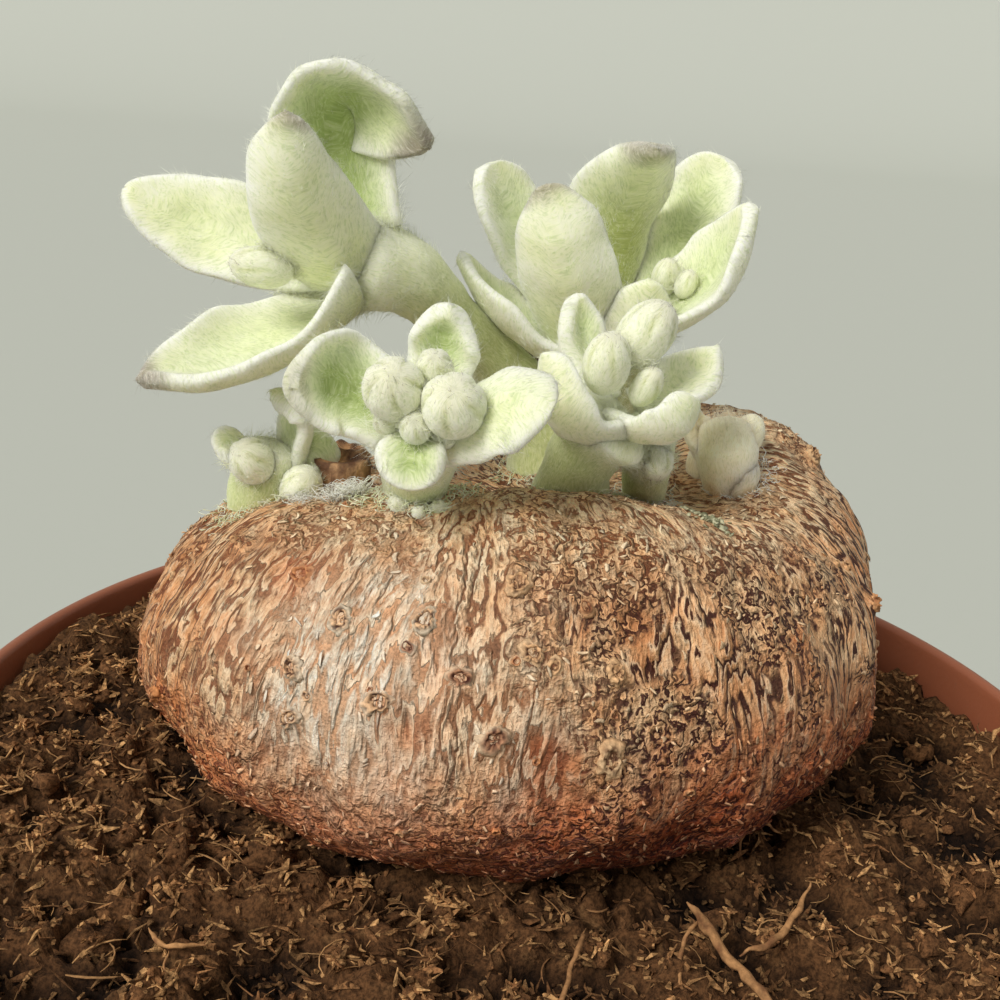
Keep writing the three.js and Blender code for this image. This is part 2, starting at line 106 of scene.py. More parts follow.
# Knobs and old scars on the bark: latitude and longitude in degrees, radius, height, tint
KNOBS = (
    (19, -139, 1.6, 0.9, "tan"), (30, -134, 1.7, 0.8, "tan"), (33, -122, 1.7, 0.8, "tan"),
    (10, -138, 1.6, 0.8, "tan"), (17, -125, 1.9, 0.9, "tan"), (23, -115, 1.5, 0.8, "red"),
    (28, -106, 1.6, 0.8, "tan"), (24, -95, 1.5, 0.8, "tan"), (9, -96, 2.2, 1.0, "pale"),
    (41, -109, 1.7, 0.9, "tan"), (12, -110, 1.9, 0.9, "red"), (36, -146, 1.8, 0.9, "orange"),
    (28, -123, 1.1, 0.5, "red"), (36, -99, 1.2, 0.5, "red"), (26, -103, 1.2, 0.5, "tan"),
    (19, 168, 1.4, 1.3, "red"), (-1, -169, 1.5, 1.2, "red"), (43, -8, 1.7, 1.4, "tan"),
    (21, -36, 1.5, 1.3, "orange"), (30, 140, 1.9, 0.9, "tan"), (12, 110, 2.2, 1.0, "tan"),
    (22, 80, 1.8, 0.9, "red"), (8, 55, 2.0, 1.0, "tan"), (30, 45, 1.7, 0.9, "tan"),
    (5, 145, 1.9, 0.9, "pale"), (12, 12, 1.9, 0.9, "tan"), (36, 100, 1.8, 0.9, "orange"),
)

# Stumps of old shoots on the crown: foot, top, foot radius, top radius
STUMPS = (
    ((-18, -1.5, 103), (-18.2, -1.5, 109), 3.1, 2.4),
    ((-19, 14, 97), (-20, 15, 104.5), 3.0, 2.1),
    ((12, 25, 100), (12.6, 26, 109), 3.1, 2.1),
    ((19.5, 12.5, 104), (20.2, 13.2, 111), 2.3, 1.7),
)


def leaf(*sizes, **traits):
    """A row of the table below: what every leaf has, and what only some have."""
    return sizes, traits


# Shoots: stems, leaves and buds. A stem has the points of its path and its radii. A leaf runs
# from root to tip, bowed at its middle by bow; face is the way its upper side looks, wide its
# width, cup the half angle of its trough in degrees, peak the place of its greatest width, base
# its width at the root as a share of wide, blunt how round its end is. A bud has a middle, an
# axis, a radius and half its length.
SHOOTS = {
    "tall_shoot": (
        [(((0.5, 14.5, 99), (0.2, 14, 108.5), (-4.9, 12.5, 114.6), (-9.6, 9, 119.7),
            (-13.6, 5.5, 124), (-18.5, 2.8, 125.4)),
           (4.6, 3.7, 2.9, 2.7, 3.4, 4.3))],
        [leaf((-18, 1.6, 124.8), (-22.8, -6, 138.2), (-1, -2, -0.5), (-0.4, 0.85, 0.25),
              9.6, 50, 0.28, 0.95, 0.7, dusk=0.8),
         leaf((-18, 2.4, 121.8), (-33.9, -9, 116.8), (0.8, 0, -1.8), (0.1, -0.3, 0.9),
              13, 66, 0.3, 0.95, 0.75, dusk=0.9, green=0.3, back=0.5, twist=-42),
         leaf((-20, 5.5, 125.6), (-38.8, 6, 129.9), (0, 0.5, -1.3), (0.1, -0.9, 0.3),
              9, 25, 0.5, 0.75, 0.6, green=0.12),
         leaf((-18, 5, 127.5), (-11.8, 0.5, 135.6), (-5.2, 1, 7.4), (0.2, -0.75, -0.65),
              12.5, 50, 0.45, 0.75, 0.55, edge=True, dusk=0.9, green=0.9)],
        [((-25.2, -2, 125.2), (-0.9, -0.3, 0.15), 1.7, 2.7)]),
    "back_rosette": (
        [(((5.5, 17.5, 99), (5.5, 17, 109), (5, 15.5, 114.5), (5.5, 14.5, 119), (6.5, 14.5, 122)),
           (4.2, 3.8, 4.3, 5.8, 6.2))],
        [leaf((3.4, 11, 117.5), (-2, 6, 133), (-0.3, -2.5, 0), (0.1, 0.95, 0.2),
              9.8, 45, 0.4, 0.85, 0.5, dusk=0.8),
         leaf((2, 15.5, 118), (-7.6, 17, 133.2), (-0.8, 0.5, 0), (0.6, -0.6, 0.4),
              9.5, 40, 0.65, 0.65, 0.35),
         leaf((1.5, 10.5, 116.5), (-9.2, 10.5, 125.8), (-0.8, -0.5, -1.2), (0.6, -0.1, 0.8),
              8.5, 55, 0.4, 0.85, 0.7),
         leaf((5, 16, 119), (7.8, 10.6, 136.4), (-0.8, 2.4, 1.2), (-0.35, 0.75, 0.55),
              12, 55, 0.6, 0.6, 0.7, dusk=0.7, green=0.9, back=0.9),
         leaf((8.5, 17, 120.5), (15, 20, 135.5), (1, 1, 0), (-0.5, -0.8, 0.3),
              9, 35, 0.6, 0.55, 0.4),
         leaf((7.5, 12, 119.5), (16.5, 9, 132.5), (2.2, -0.5, -1.5), (-0.75, -0.35, 0.6),
              11.2, 55, 0.5, 0.65, 0.7),
         leaf((5.5, 10.5, 118), (8, 7.5, 125.2), (0.3, -1, -0.5), (-0.1, 0.95, 0.3),
              7.5, 40, 0.4, 0.8, 0.7, green=0.9)],
        [((10, 12, 124.6), (0.1, -0.3, 0.9), 1.3, 2.0),
         ((11.8, 10.5, 124.4), (0.3, -0.3, 0.9), 1.0, 1.5)]),
    "front_rosette": (
        [(((-11, -3, 99), (-11, -6, 106), (-11, -9, 109.5), (-10.7, -12, 113),
            (-10.3, -13.5, 115.8)),
           (4.0, 3.0, 2.7, 3.2, 4.2))],
        [leaf((-12, -13.5, 115.8), (-20, -17, 119.1), (-0.6, 2.2, 0.7), (0.5, -0.75, 0.45),
              9, 50, 0.6, 0.65, 0.38, dusk=0.4, green=0.9),
         leaf((-9.2, -12.5, 118.5), (-8.5, -13.5, 125.6), (-0.2, 1.4, 0), (-0.1, -0.95, 0.1),
              5.6, 50, 0.4, 0.8, 0.8, green=0.8),
         leaf((-8.6, -14.2, 115.9), (-0.7, -18.5, 119.2), (0.4, -0.8, 1.5), (0.05, -0.7, 0.7),
              8.2, -30, 0.5, 0.75, 0.42, green=0.2),
         leaf((-10.8, -15.6, 115.6), (-10.6, -19, 112.6), (0, -0.8, 0.8), (0, -0.75, 0.6),
              4.8, 25, 0.5, 0.85, 0.45, green=0.8)],
        [((-11.9, -12.6, 108.9), (-0.2, -0.6, 0.8), 0.9, 1.3),
         ((-10.3, -13.3, 108.6), (0.1, -0.7, 0.4), 0.7, 1.1),
         ((-8.8, -12.8, 108.9), (0.4, -0.6, 0.5), 0.75, 1.2),
         ((-12.3, -17.2, 119.8), (0, -0.75, 0.65), 2.3, 2.6),
         ((-7.8, -18.0, 119.1), (0, -0.75, 0.65), 2.4, 2.7),
         ((-9.5, -15.8, 121.2), (0, -0.75, 0.65), 1.4, 1.8),
         ((-10.5, -18, 117.2), (0, -0.75, 0.65), 1.2, 1.5),
         ((-8.4, -16.8, 116.4), (0.1, -0.8, 0.5), 1.0, 1.3),
         ((-12.8, -16.2, 116.9), (-0.3, -0.7, 0.6), 1.0, 1.3)]),
    "side_rosette": (
        [(((2.2, 0.5, 100), (2.2, -2, 106.5), (2.5, -4, 110.5), (3.6, -5, 113.5),
            (5.3, -5.8, 115.6)),
           (4.2, 3.6, 2.9, 3.3, 4.3)),
         (((9.4, 4.5, 100), (9.2, 2.5, 106), (8.8, -1, 110), (7.6, -3.6, 113.8)),
           (2.4, 2.0, 2.1, 3.0))],
        [leaf((4.2, -3, 116), (1.1, -1, 124.9), (-0.6, 0.4, 0), (0.55, -0.75, 0.3),
              4.6, 50, 0.5, 0.8, 0.5),
         leaf((5.5, -5.5, 114.5), (-0.8, -9, 121.6), (-1.5, -2, -2), (0.5, 0.45, 0.7),
              7, 55, 0.5, 0.85, 0.45),
         leaf((5.5, -5.5, 115.1), (10.6, -9, 118.8), (1, -1.8, -1.1), (-0.2, 0.45, 0.85),
              6, 55, 0.5, 0.85, 0.42),
         leaf((7, -4, 116), (13.3, -2, 121.8), (0.5, 0, -0.5), (-0.35, -0.7, 0.6),
              5.2, 15, 0.5, 0.8, 0.9, green=0.1)],
        [((3.8, -8, 120.7), (0.05, -0.4, 0.9), 1.9, 2.9),
         ((6.8, -6, 122.9), (0.5, -0.2, 0.85), 2.2, 3.2),
         ((7.2, -7.4, 118.9), (0.35, -0.4, 0.85), 1.2, 2.0),
         ((9.1, -4.2, 111.7), (0.1, -0.6, -0.5), 1.5, 1.8)]),
    "small_shoot": (
        [(((-24.5, 0, 97), (-25, -1, 104), (-24.5, -2, 107.5), (-24, -2, 110)),
           (3.8, 3.3, 3.0, 2.5))],
        [leaf((-22.4, -1.5, 108.5), (-24, -4, 114.5), (1.5, 0, 2), (-0.7, -0.5, 0.2),
              5.8, 45, 0.5, 0.8, 0.35),
         leaf((-25, -2.5, 107.5), (-28.5, -5, 109.5), (0, 0, 1), (0.2, -0.2, 0.9),
              4.6, 45, 0.5, 0.85, 0.4),
         leaf((-23, -1, 108.5), (-19, 0, 108.5), (0.5, -0.5, 1), (0, -0.5, 0.8),
              6.0, -40, 0.5, 0.8, 0.4)],
        [((-21.2, -4.2, 106.8), (0.3, -0.4, 0.6), 1.8, 2.4),
         ((-25.4, -4.6, 109), (-0.3, -0.6, 0.6), 1.9, 2.4)]),
    "dry_shoot": (
        [(((18, 7, 100), (18, 5, 105), (17, 4, 108), (16.5, 4, 110.5), (16, 5, 113.5)),
           (2.1, 1.9, 2.5, 3.0, 2.1))],
        [leaf((16, 5, 108.5), (13.6, 7, 113.5), (-1, 0, 0.5), (0.7, -0.5, 0.2),
              4.4, 50, 0.5, 0.8, 0.4)],
        [((18.7, 6.4, 111.5), (0.3, 0.2, 0.9), 1.5, 2.1),
         ((17.8, 3.2, 108.3), (0.2, 0, 0.9), 1.8, 2.5),
         ((15, 6.2, 109), (0.2, 0, 0.9), 1.6, 2.7)]),
    "dry_stalk": (
        [(((0.6, 21.5, 98), (0.4, 21, 106.5), (-0.9, 20.5, 111.8), (-4.4, 18.5, 117.5)),
           (1.6, 1.5, 1.3, 1.0))],
        [],
        []),
}


def srgb(red, green, blue):
    """A screen colour from 0 to 255 as linear light."""
    c = np.array([red, green, blue], float) / 255
    return np.where(c <= 0.04045, c / 12.92, ((c + 0.055) / 1.055) ** 2.4)


def smoothstep(x, low, high):
    t = np.clip((x - low) / (high - low), 0, 1)
    return t * t * (3 - 2 * t)


def unit(v):
    """Vectors along the last axis, each made one long."""
    v = np.asarray(v, float)
    return v / np.maximum(np.linalg.norm(v, axis=-1, keepdims=True), 1e-9)


def mix(a, b, share):
    """Rows of colours a and b mixed by a share for each row."""
    share = np.asarray(share, float)[..., None]
    return a * (1 - share) + b * share


# Noise

def hashed(x, y, z, salt):
    """A repeatable number from 0 to 1 for each lattice point."""
    h = (x * 374761393 + y * 668265263 + z * 1103515245 + salt * 1274126177) & 0xFFFFFFFF
    h = ((h ^ (h >> 13)) * 1274126177) & 0xFFFFFFFF
    return ((h ^ (h >> 16)) & 0xFFFFFF) / 0x1000000


def noise(points, salt=0):
    """Smooth noise from -1 to 1."""
    low = np.floor(points).astype(np.int64)
    f = points - low
    f = f * f * (3 - 2 * f)
    total = np.zeros(len(points))
    for step in np.ndindex(2, 2, 2):
        weight = np.abs(1 - np.array(step) - f)
        total += weight[:, 0] * weight[:, 1] * weight[:, 2] * hashed(*(low + step).T, salt)
    return 2 * total - 1


def fractal(points, octaves, salt=0):
    """Layered noise, about -1 to 1."""
    total, size = np.zeros(len(points)), 0
    for k in range(octaves):
        total += noise(points * 2 ** k + 17.3 * k, salt + k) / 1.9 ** k
        size += 1 / 1.9 ** k
    return 1.5 * total / size


def seed_distance(points, salt):
    """Distance to the nearest of seeds scattered one to a cell."""
    base = np.floor(points).astype(np.int64)
    nearest = np.full(len(points), np.inf)
    for step in np.ndindex(3, 3, 3):
        cell = (base + step - 1).T
        seed = np.stack([v + hashed(*cell, salt + 1 + k) for k, v in enumerate(cell)], 1)
        nearest = np.minimum(nearest, np.linalg.norm(seed - points, axis=1))
    return nearest


def wobble(points, salt):
    """A noise vector for each point."""
    return np.stack([noise(points, salt + k) for k in range(3)], 1)


# Meshes

def make_mesh(name, points, faces, scale=MM, smooth=True):
    """An object from points in millimetres and arrays of faces, each of 3 or 4 corners."""
    mesh = bpy.data.meshes.new(name)
    mesh.vertices.add(len(points))
    mesh.vertices.foreach_set("co", (np.asarray(points) * scale).astype(np.float32).ravel())
    corners = np.concatenate([f.ravel() for f in faces]).astype(np.int32)
    counts = np.concatenate([np.full(len(f), f.shape[1]) for f in faces])
    starts = np.concatenate([[0], np.cumsum(counts)[:-1]]).astype(np.int32)
    mesh.loops.add(len(corners))
    mesh.loops.foreach_set("vertex_index", corners)
    mesh.polygons.add(len(starts))
    mesh.polygons.foreach_set("loop_start", starts)
    mesh.update(calc_edges=True)
    mesh.validate()
    mesh.polygons.foreach_set("use_smooth", np.full(len(mesh.polygons), smooth))
    thing = bpy.data.objects.new(name, mesh)
    bpy.context.scene.collection.objects.link(thing)
    return thing


def give(thing, name, values):
    """Stores a number, vector or colour at each point, for the material."""
    values = np.asarray(values, np.float32)
    if name.endswith("colour"):
        layer = thing.data.color_attributes.new(name, "FLOAT_COLOR", "POINT")
        opaque = np.concatenate([values, np.ones((len(values), 1), np.float32)], 1)
        layer.data.foreach_set("color", opaque.ravel())
        return
    kind, field = ("FLOAT", "value") if values.ndim == 1 else ("FLOAT_VECTOR", "vector")
    layer = thing.data.attributes.new(name, kind, "POINT")
    layer.data.foreach_set(field, values.ravel())


def dress(piece, material, slot, *nodes):
    """Gives a piece its material, its body and the nodes that it stands for. Its slot is not used.
    """
    piece.data.materials.append(material)
    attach(piece, "root")
    if nodes:
        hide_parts(*nodes)


def tinted_piece(name, points, faces, colours, material, slot, *nodes, smooth=True):
    """A piece that keeps a colour at each of its points."""
    piece = make_mesh(name, points, faces, smooth=smooth)
    give(piece, "tint_colour", colours)
    dress(piece, material, slot, *nodes)


def joined_piece(name, parts, colours, material, slot):
    """One tinted piece from several closed parts."""
    points, *faces = join_parts(parts)
    tinted_piece(name, points, faces, np.concatenate(colours), material, slot)


def circle(sides):
    """Cosines and sines of even steps round a circle."""
    turn = np.linspace(0, 2 * np.pi, sides, endpoint=False)
    return np.cos(turn), np.sin(turn)


def ring(radius, height, sides, middle=(0, 0)):
    """Points round a level circle."""
    c, s = circle(sides)
    return layers(middle[0] + radius * c, middle[1] + radius * s, height)


def swung(a, b, angle):
    """Two square directions, both turned by an angle in their own plane."""
    c, s = np.cos(angle), np.sin(angle)
    return a * c + b * s, b * c - a * s


def layers(*values):
    """Arrays spread over each other's shapes and stacked as the last axis."""
    return np.stack(np.broadcast_arrays(*values), -1)


def repeated(faces, count, points_each):
    """The faces of one small shape, again for each of its copies."""
    faces = np.asarray(faces)
    return (faces + (np.arange(count) * points_each)[:, None, None]).reshape(-1, faces.shape[1])


def ring_faces(rings, sides):
    """Quads between rings of points that follow each other."""
    row, a = np.arange(rings - 1)[:, None] * sides, np.arange(sides)
    low, high = row + a, row + (a + 1) % sides
    return np.stack([low, high, high + sides, low + sides], -1).reshape(-1, 4)


def fan_faces(pole, ring_start, sides):
    """Triangles from one point to a ring."""
    a = np.arange(sides)
    return np.stack([np.full(sides, pole), a + ring_start, (a + 1) % sides + ring_start], 1)


NO_QUADS = np.zeros((0, 4), int)


def tube_faces(rings, sides):
    """Faces of a closed tube: its rings, then a point for each end."""
    pole = rings * sides
    return (ring_faces(rings, sides),
            np.concatenate([fan_faces(pole, 0, sides)[:, [0, 2, 1]],
                            fan_faces(pole + 1, pole - sides, sides)]))


def join_parts(parts):
    """Points, quads and triangles of several parts put one after another."""
    starts = np.cumsum([0] + [len(points) for points, _, _ in parts])
    return (np.concatenate([points for points, _, _ in parts]),
            np.concatenate([quads + start for (_, quads, _), start in zip(parts, starts)]),
            np.concatenate([triangles + start for (_, _, triangles), start in zip(parts, starts)]))


# Materials

class Nodes:
    """Lays out one material's nodes."""

    def __init__(self, name):
        self.material = bpy.data.materials.new(name)
        self.material.use_nodes = True
        self.tree = self.material.node_tree
        self.shader = self.tree.nodes["Principled BSDF"]

    def add(self, kind, settings=None, **inputs):
        node = self.tree.nodes.new(kind)
        for key, value in (settings or {}).items():
            setattr(node, key, value)
        for key, value in inputs.items():
            self.put(node, key.replace("_", " "), value)
        return node

    def put(self, node, key, value):
        if isinstance(value, bpy.types.NodeSocket):
            self.tree.links.new(value, node.inputs[key])
        else:
            node.inputs[key].default_value = value

    def place(self):
        return self.add("ShaderNodeTexCoord").outputs["Object"]

    def attribute(self, name, output="Fac"):
        return self.add("ShaderNodeAttribute", {"attribute_name": name}).outputs[output]

    def noise(self, vector, scale, detail=3, roughness=0.6, output="Fac"):
        return self.add("ShaderNodeTexNoise", Vector=vector, Scale=scale, Detail=detail,
                        Roughness=roughness).outputs[output]

    def math(self, operation, a, b):
        node = self.add("ShaderNodeMath", {"operation": operation})
        self.put(node, 0, a)
        self.put(node, 1, b)
        return node.outputs[0]

    def times(self, a, b):
        return self.math("MULTIPLY", a, b)

    def plus(self, a, b):
        return self.math("ADD", a, b)

    def ramp(self, value, low, high, to_low=0.0, to_high=1.0):
        node = self.add("ShaderNodeMapRange", {"interpolation_type": "SMOOTHSTEP"}, Value=value,
                        From_Min=low, From_Max=high, To_Min=to_low, To_Max=to_high)
        return node.outputs["Result"]

    def blend(self, share, a, b, how="MIX"):
        node = self.add("ShaderNodeMix", {"data_type": "RGBA", "blend_type": how})
        self.put(node, 0, share)
        for key, value in ((6, a), (7, b)):
            self.put(node, key, value if isinstance(value, bpy.types.NodeSocket) else (*value, 1))
        return node.outputs[2]

    def stain(self, a, b):
        return self.blend(1.0, a, b, "MULTIPLY")

    def finish(self, colour, roughness, bump=None, bump_distance=0.0, **fixed):
        for key, value in {"Base Color": colour, "Roughness": roughness, **fixed}.items():
            self.put(self.shader, key.replace("_", " "), value)
        if bump is not None:
            node = self.add("ShaderNodeBump", Height=bump, Distance=bump_distance)
            self.put(self.shader, "Normal", node.outputs[0])
        return self.material


def grey(level):
    return (level, level, level)


def bark_material():
    """Terraces of noise along the grain: scales with a raised edge in a pale painted highlight,
    over a brown groove that is partly painted shadow.
    """
    n = Nodes("caudex_bark")
    place, flow, wild = n.place(), n.attribute("flow", "Vector"), n.attribute("wild")
    plate, groove = n.attribute("plate_colour", "Color"), n.attribute("groove_colour", "Color")
    fine, grain = n.noise(flow, 4.0, 4), n.noise(place, 3600, 4, 0.65)
    patch, cloud = n.noise(flow, 0.55, 2), n.noise(place, 420, 2)

    tone = n.blend(n.ramp(fine, 0.25, 0.75), srgb(232, 212, 196), grey(1.36))
    tone = n.stain(tone, n.blend(n.ramp(patch, 0.3, 0.7), srgb(246, 228, 212), grey(1.12)))
    pale = n.stain(plate, tone)
    dark = n.stain(groove, n.blend(n.ramp(grain, 0.3, 0.7), (0.68, 0.60, 0.55), (1.24, 1.08, 0.98)))

    def terraces(vector, bend, scale, detail, roughness, frayed, steps):
        """Noise in bent coordinates, cut into steps that run from 0 to 1."""
        bent = n.add("ShaderNodeVectorMath", {"operation": "MULTIPLY_ADD"})
        swirl = n.noise(vector, bend[0], 2, 0.5, "Color")
        for key, value in enumerate((swirl, (bend[1],) * 3, vector)):
            n.put(bent, key, value)
        value = n.noise(bent.outputs[0], scale, detail, roughness)
        value = n.plus(value, n.times(n.math("SUBTRACT", grain, 0.5), frayed))
        return n.math("FRACT", n.times(value, steps), 0)

    def scales(level, edge_highlight_from, cover, edge_highlight_cover, edge_highlight_colour):
        """Colour and height of scales whose level runs from the groove, 0, to the edge, 1. The pale
        edge is a painted highlight. The groove is darkest at the foot of the step, where the bark's
        darker colour carries painted shadow.
        """
        # painted shadow in part: the groove colour fills the foot of each step, under the edge
        # before it
        body = n.times(n.ramp(level, 0.22, 0.46), cover)
        # painted highlight: a pale band along the raised edge of each scale
        edge = n.times(n.ramp(level, edge_highlight_from, 0.93), n.ramp(level, 0.96, 1.0, 1.0, 0.0))
        colour = n.blend(n.times(edge, edge_highlight_cover), n.blend(body, dark, pale), edge_highlight_colour)
        height = n.math("MINIMUM", n.ramp(level, 0.0, 0.88), n.ramp(level, 0.93, 1.0, 1.0, 0.0))
        return colour, height

    strips, strip_height = scales(terraces(flow, (1.4, 0.8), 0.235, 3.6, 0.6, 0.03, 9.0),
                                  0.66, 1.0, 0.55, srgb(242, 218, 186))
    loops, loop_height = scales(terraces(place, (800, 0.0012), 400, 3.5, 0.62, 0.04, 7.0),
                                0.70, 0.72, 0.85, n.blend(0.3, pale, srgb(246, 206, 156)))
    colour = n.stain(n.blend(wild, strips, loops),
                     n.blend(n.ramp(cloud, 0.35, 0.65), (1.10, 0.97, 0.86), (0.97, 1.0, 1.0)))
    colour = n.blend(n.ramp(grain, 0.60, 0.72, 0, 0.2), colour, srgb(240, 200, 156))
    height = n.plus(n.blend(wild, strip_height, loop_height), n.times(fine, 0.4))
    height = n.plus(height, n.times(grain, 0.30))
    return n.finish(colour, n.ramp(fine, 0.2, 0.8, 0.5, 0.75), height, 0.0008,
                    Specular_IOR_Level=0.4)


def tinted_material(name, roughness, grain, contrast, depth, gloss):
    """The colour stored in the mesh, broken up by fine noise."""
    n = Nodes(name)
    fine = n.noise(n.place(), grain, 4, 0.65)
    tone = n.blend(n.ramp(fine, 0.3, 0.7), grey(1 - contrast), grey(1 + contrast))
    return n.finish(n.stain(n.attribute("tint_colour", "Color"), tone), roughness, fine, depth,
                    Specular_IOR_Level=gloss)


def felt_material():
    """Short combed wool over a green skin: streaks that follow the nap, light that soaks in."""
    n = Nodes("felt")
    streak = n.noise(n.attribute("nap", "Vector"), 4.5, 3, 0.65)
    cloud = n.noise(n.place(), 700, 3, 0.65)
    tone = n.blend(n.ramp(streak, 0.3, 0.55), srgb(232, 238, 222), grey(1.02))
    tone = n.stain(tone, n.blend(n.ramp(cloud, 0.3, 0.7), grey(0.94), grey(1.05)))
    colour = n.stain(n.attribute("tint_colour", "Color"), tone)
    colour = n.blend(n.ramp(streak, 0.50, 0.70, 0, 0.35), colour, srgb(250, 250, 224))
    return n.finish(colour, 0.9, n.plus(streak, n.times(cloud, 0.7)), 0.00006,
                    Subsurface_Weight=0.7, Subsurface_Radius=(1.0, 1.0, 0.85),
                    Subsurface_Scale=0.0012, Sheen_Weight=0.3, Sheen_Roughness=0.5,
                    Specular_IOR_Level=0.1)


def pot_material():
    """Slightly glossy brick-brown plastic with faint moulding ripples and dust."""
    n = Nodes("pot_plastic")
    place = n.place()
    cloud, fine = n.noise(place, 45), n.noise(place, 1500)
    colour = n.blend(n.ramp(cloud, 0.2, 0.8), srgb(144, 82, 55), srgb(154, 90, 62))
    dust = n.times(n.ramp(fine, 0.62, 0.75), n.ramp(cloud, 0.45, 0.6, 0, 0.25))
    colour = n.blend(dust, colour, srgb(120, 92, 70))
    return n.finish(colour, n.ramp(fine, 0.3, 0.8, 0.34, 0.5), fine, 0.00004,
                    Specular_IOR_Level=0.45)


# Camera, lights and stage

def make_camera():
    camera = bpy.data.objects.new("camera", bpy.data.cameras.new("camera"))
    bpy.context.scene.collection.objects.link(camera)
    pitch, roll = math.radians(CAMERA_PITCH), math.radians(CAMERA_ROLL)
    forward = Vector((0, math.cos(pitch), -math.sin(pitch)))
    level_up = Vector((0, math.sin(pitch), math.cos(pitch)))
    right, up = swung(Vector((1, 0, 0)), level_up, -roll)
    camera.matrix_world = Matrix.LocRotScale(
        Vector(CAMERA_AT) * MM, Matrix((right, up, -forward)).transposed(), None)
    camera.data.lens = CAMERA_LENS
    camera.data.sensor_width = CAMERA_SENSOR
    camera.data.clip_start = 0.005
    bpy.context.scene.camera = camera


def make_stage():
    """A pale seamless sheet that runs back and curves up."""
    radius, half, front, back, top = 1.2, 5.0, -3.0, 1.8, 4.5
    bend = [(back + radius * math.sin(a), radius * (1 - math.cos(a)))
            for a in np.linspace(0, math.pi / 2, 24)]
    line = [(front, 0.0), *bend, (back + radius, top)]
    points = np.array([(x, y, z) for y, z in line for x in (-half, half)])
    a = np.arange(len(line) - 1) * 2
    sheet = make_mesh("backdrop", points, [np.stack([a, a + 1, a + 3, a + 2], 1)], 1)
    n = Nodes("backdrop")
    soft = n.add("ShaderNodeTexNoise", Scale=1.5, Detail=2.0, Roughness=0.6).outputs["Fac"]
    sheet.data.materials.append(n.finish(
        n.blend(soft, srgb(188, 191, 182), srgb(193, 195, 186)), 0.9, Specular_IOR_Level=0.1))


def make_lights():
    sun = bpy.data.lights.new("window", "SUN")
    sun.energy, sun.angle, sun.color = KEY_POWER, math.radians(KEY_SPREAD), (1.0, 0.985, 0.95)
    thing = bpy.data.objects.new("window", sun)
    bpy.context.scene.collection.objects.link(thing)
    thing.rotation_mode = "QUATERNION"
    thing.rotation_quaternion = Vector(KEY_WAY).to_track_quat("-Z", "Y")
    world = bpy.data.worlds.new("room")
    world.use_nodes = True
    world.node_tree.nodes["Background"].inputs["Color"].default_value = (0.96, 0.97, 0.95, 1)
    world.node_tree.nodes["Background"].inputs["Strength"].default_value = ROOM_LIGHT
    bpy.context.scene.world = world
    bpy.context.scene.view_settings.view_transform = "Standard"


# Pot

def pot():
    """The turned pot with rounded lips, and its drain holes cut through."""
    top, band, neck = POT_HEIGHT, POT_HEIGHT - RIM_BAND, RIM_RADIUS - 1.8
    outline = [
        (FOOT_RADIUS - 4.5, FLOOR_TOP), (FOOT_RADIUS - 2, FLOOR_TOP + 1.6),
        (neck - WALL - 0.4, band - 2), (RIM_INNER - 0.05, top - 1.2), (RIM_INNER, top - 0.6),
        (RIM_INNER + 0.18, top - 0.18), (RIM_INNER + 0.5, top), (RIM_RADIUS - 0.5, top),
        (RIM_RADIUS - 0.18, top - 0.18), (RIM_RADIUS, top - 0.6), (RIM_RADIUS, top - 3),
        (RIM_RADIUS, band + 0.8), (RIM_RADIUS - 0.15, band + 0.3), (RIM_RADIUS - 0.5, band),
        (neck + 0.3, band - 0.3), (neck, band - 0.9), (FOOT_RADIUS + 1.0, 5.5), (FOOT_RADIUS, 0.9),
        (FOOT_RADIUS - 0.2, 0.3), (FOOT_RADIUS - 0.7, 0), (FOOT_RADIUS - 2.6, 0),
        (FOOT_RADIUS - 3.0, 0.3), (FOOT_RADIUS - 3.4, 1.4),
    ][::-1]
    points = np.concatenate([ring(r, z, POT_SIDES) for r, z in outline]
                            + [[[0, 0, 1.4], [0, 0, FLOOR_TOP]]])
    shell = make_mesh("pot_shell", points, tube_faces(len(outline), POT_SIDES))
    drills = []
    for k in range(DRAIN_HOLES):
        a = (k + 0.5) * 2 * np.pi / DRAIN_HOLES
        x, y = DRAIN_CIRCLE * np.cos(a), DRAIN_CIRCLE * np.sin(a)
        rings = [ring(DRAIN_RADIUS, z, 32, (x, y)) for z in (-1, 5)]
        drills.append((np.concatenate([*rings, [[x, y, -1], [x, y, 5]]]), *tube_faces(2, 32)))
    points, *faces = join_parts(drills)
    cutter = make_mesh("cutter", points, faces)
    cut = shell.modifiers.new("holes", "BOOLEAN")
    cut.operation, cut.object, cut.solver = "DIFFERENCE", cutter, "EXACT"
    graph = bpy.context.evaluated_depsgraph_get()
    drilled = bpy.data.meshes.new_from_object(shell.evaluated_get(graph))
    shell.modifiers.clear()
    shell.data = drilled
    bpy.data.objects.remove(cutter)
    drilled.polygons.foreach_set("use_smooth", np.full(len(drilled.polygons), True))
    drilled.set_sharp_from_angle(angle=math.radians(40))
    dress(shell, pot_material(), "pot_plastic", "pot")


# Soil

def soil_height(x, y):
    lumps = (np.sin(0.31 * x + 1.1) * np.cos(0.27 * y - 0.6)
             + 0.6 * np.sin(0.62 * y + 0.35 * x + 2.0) + 0.4 * np.sin(0.9 * x - 0.5 * y))
    return SOIL_LEVEL - 0.036 * x + 0.45 * lumps


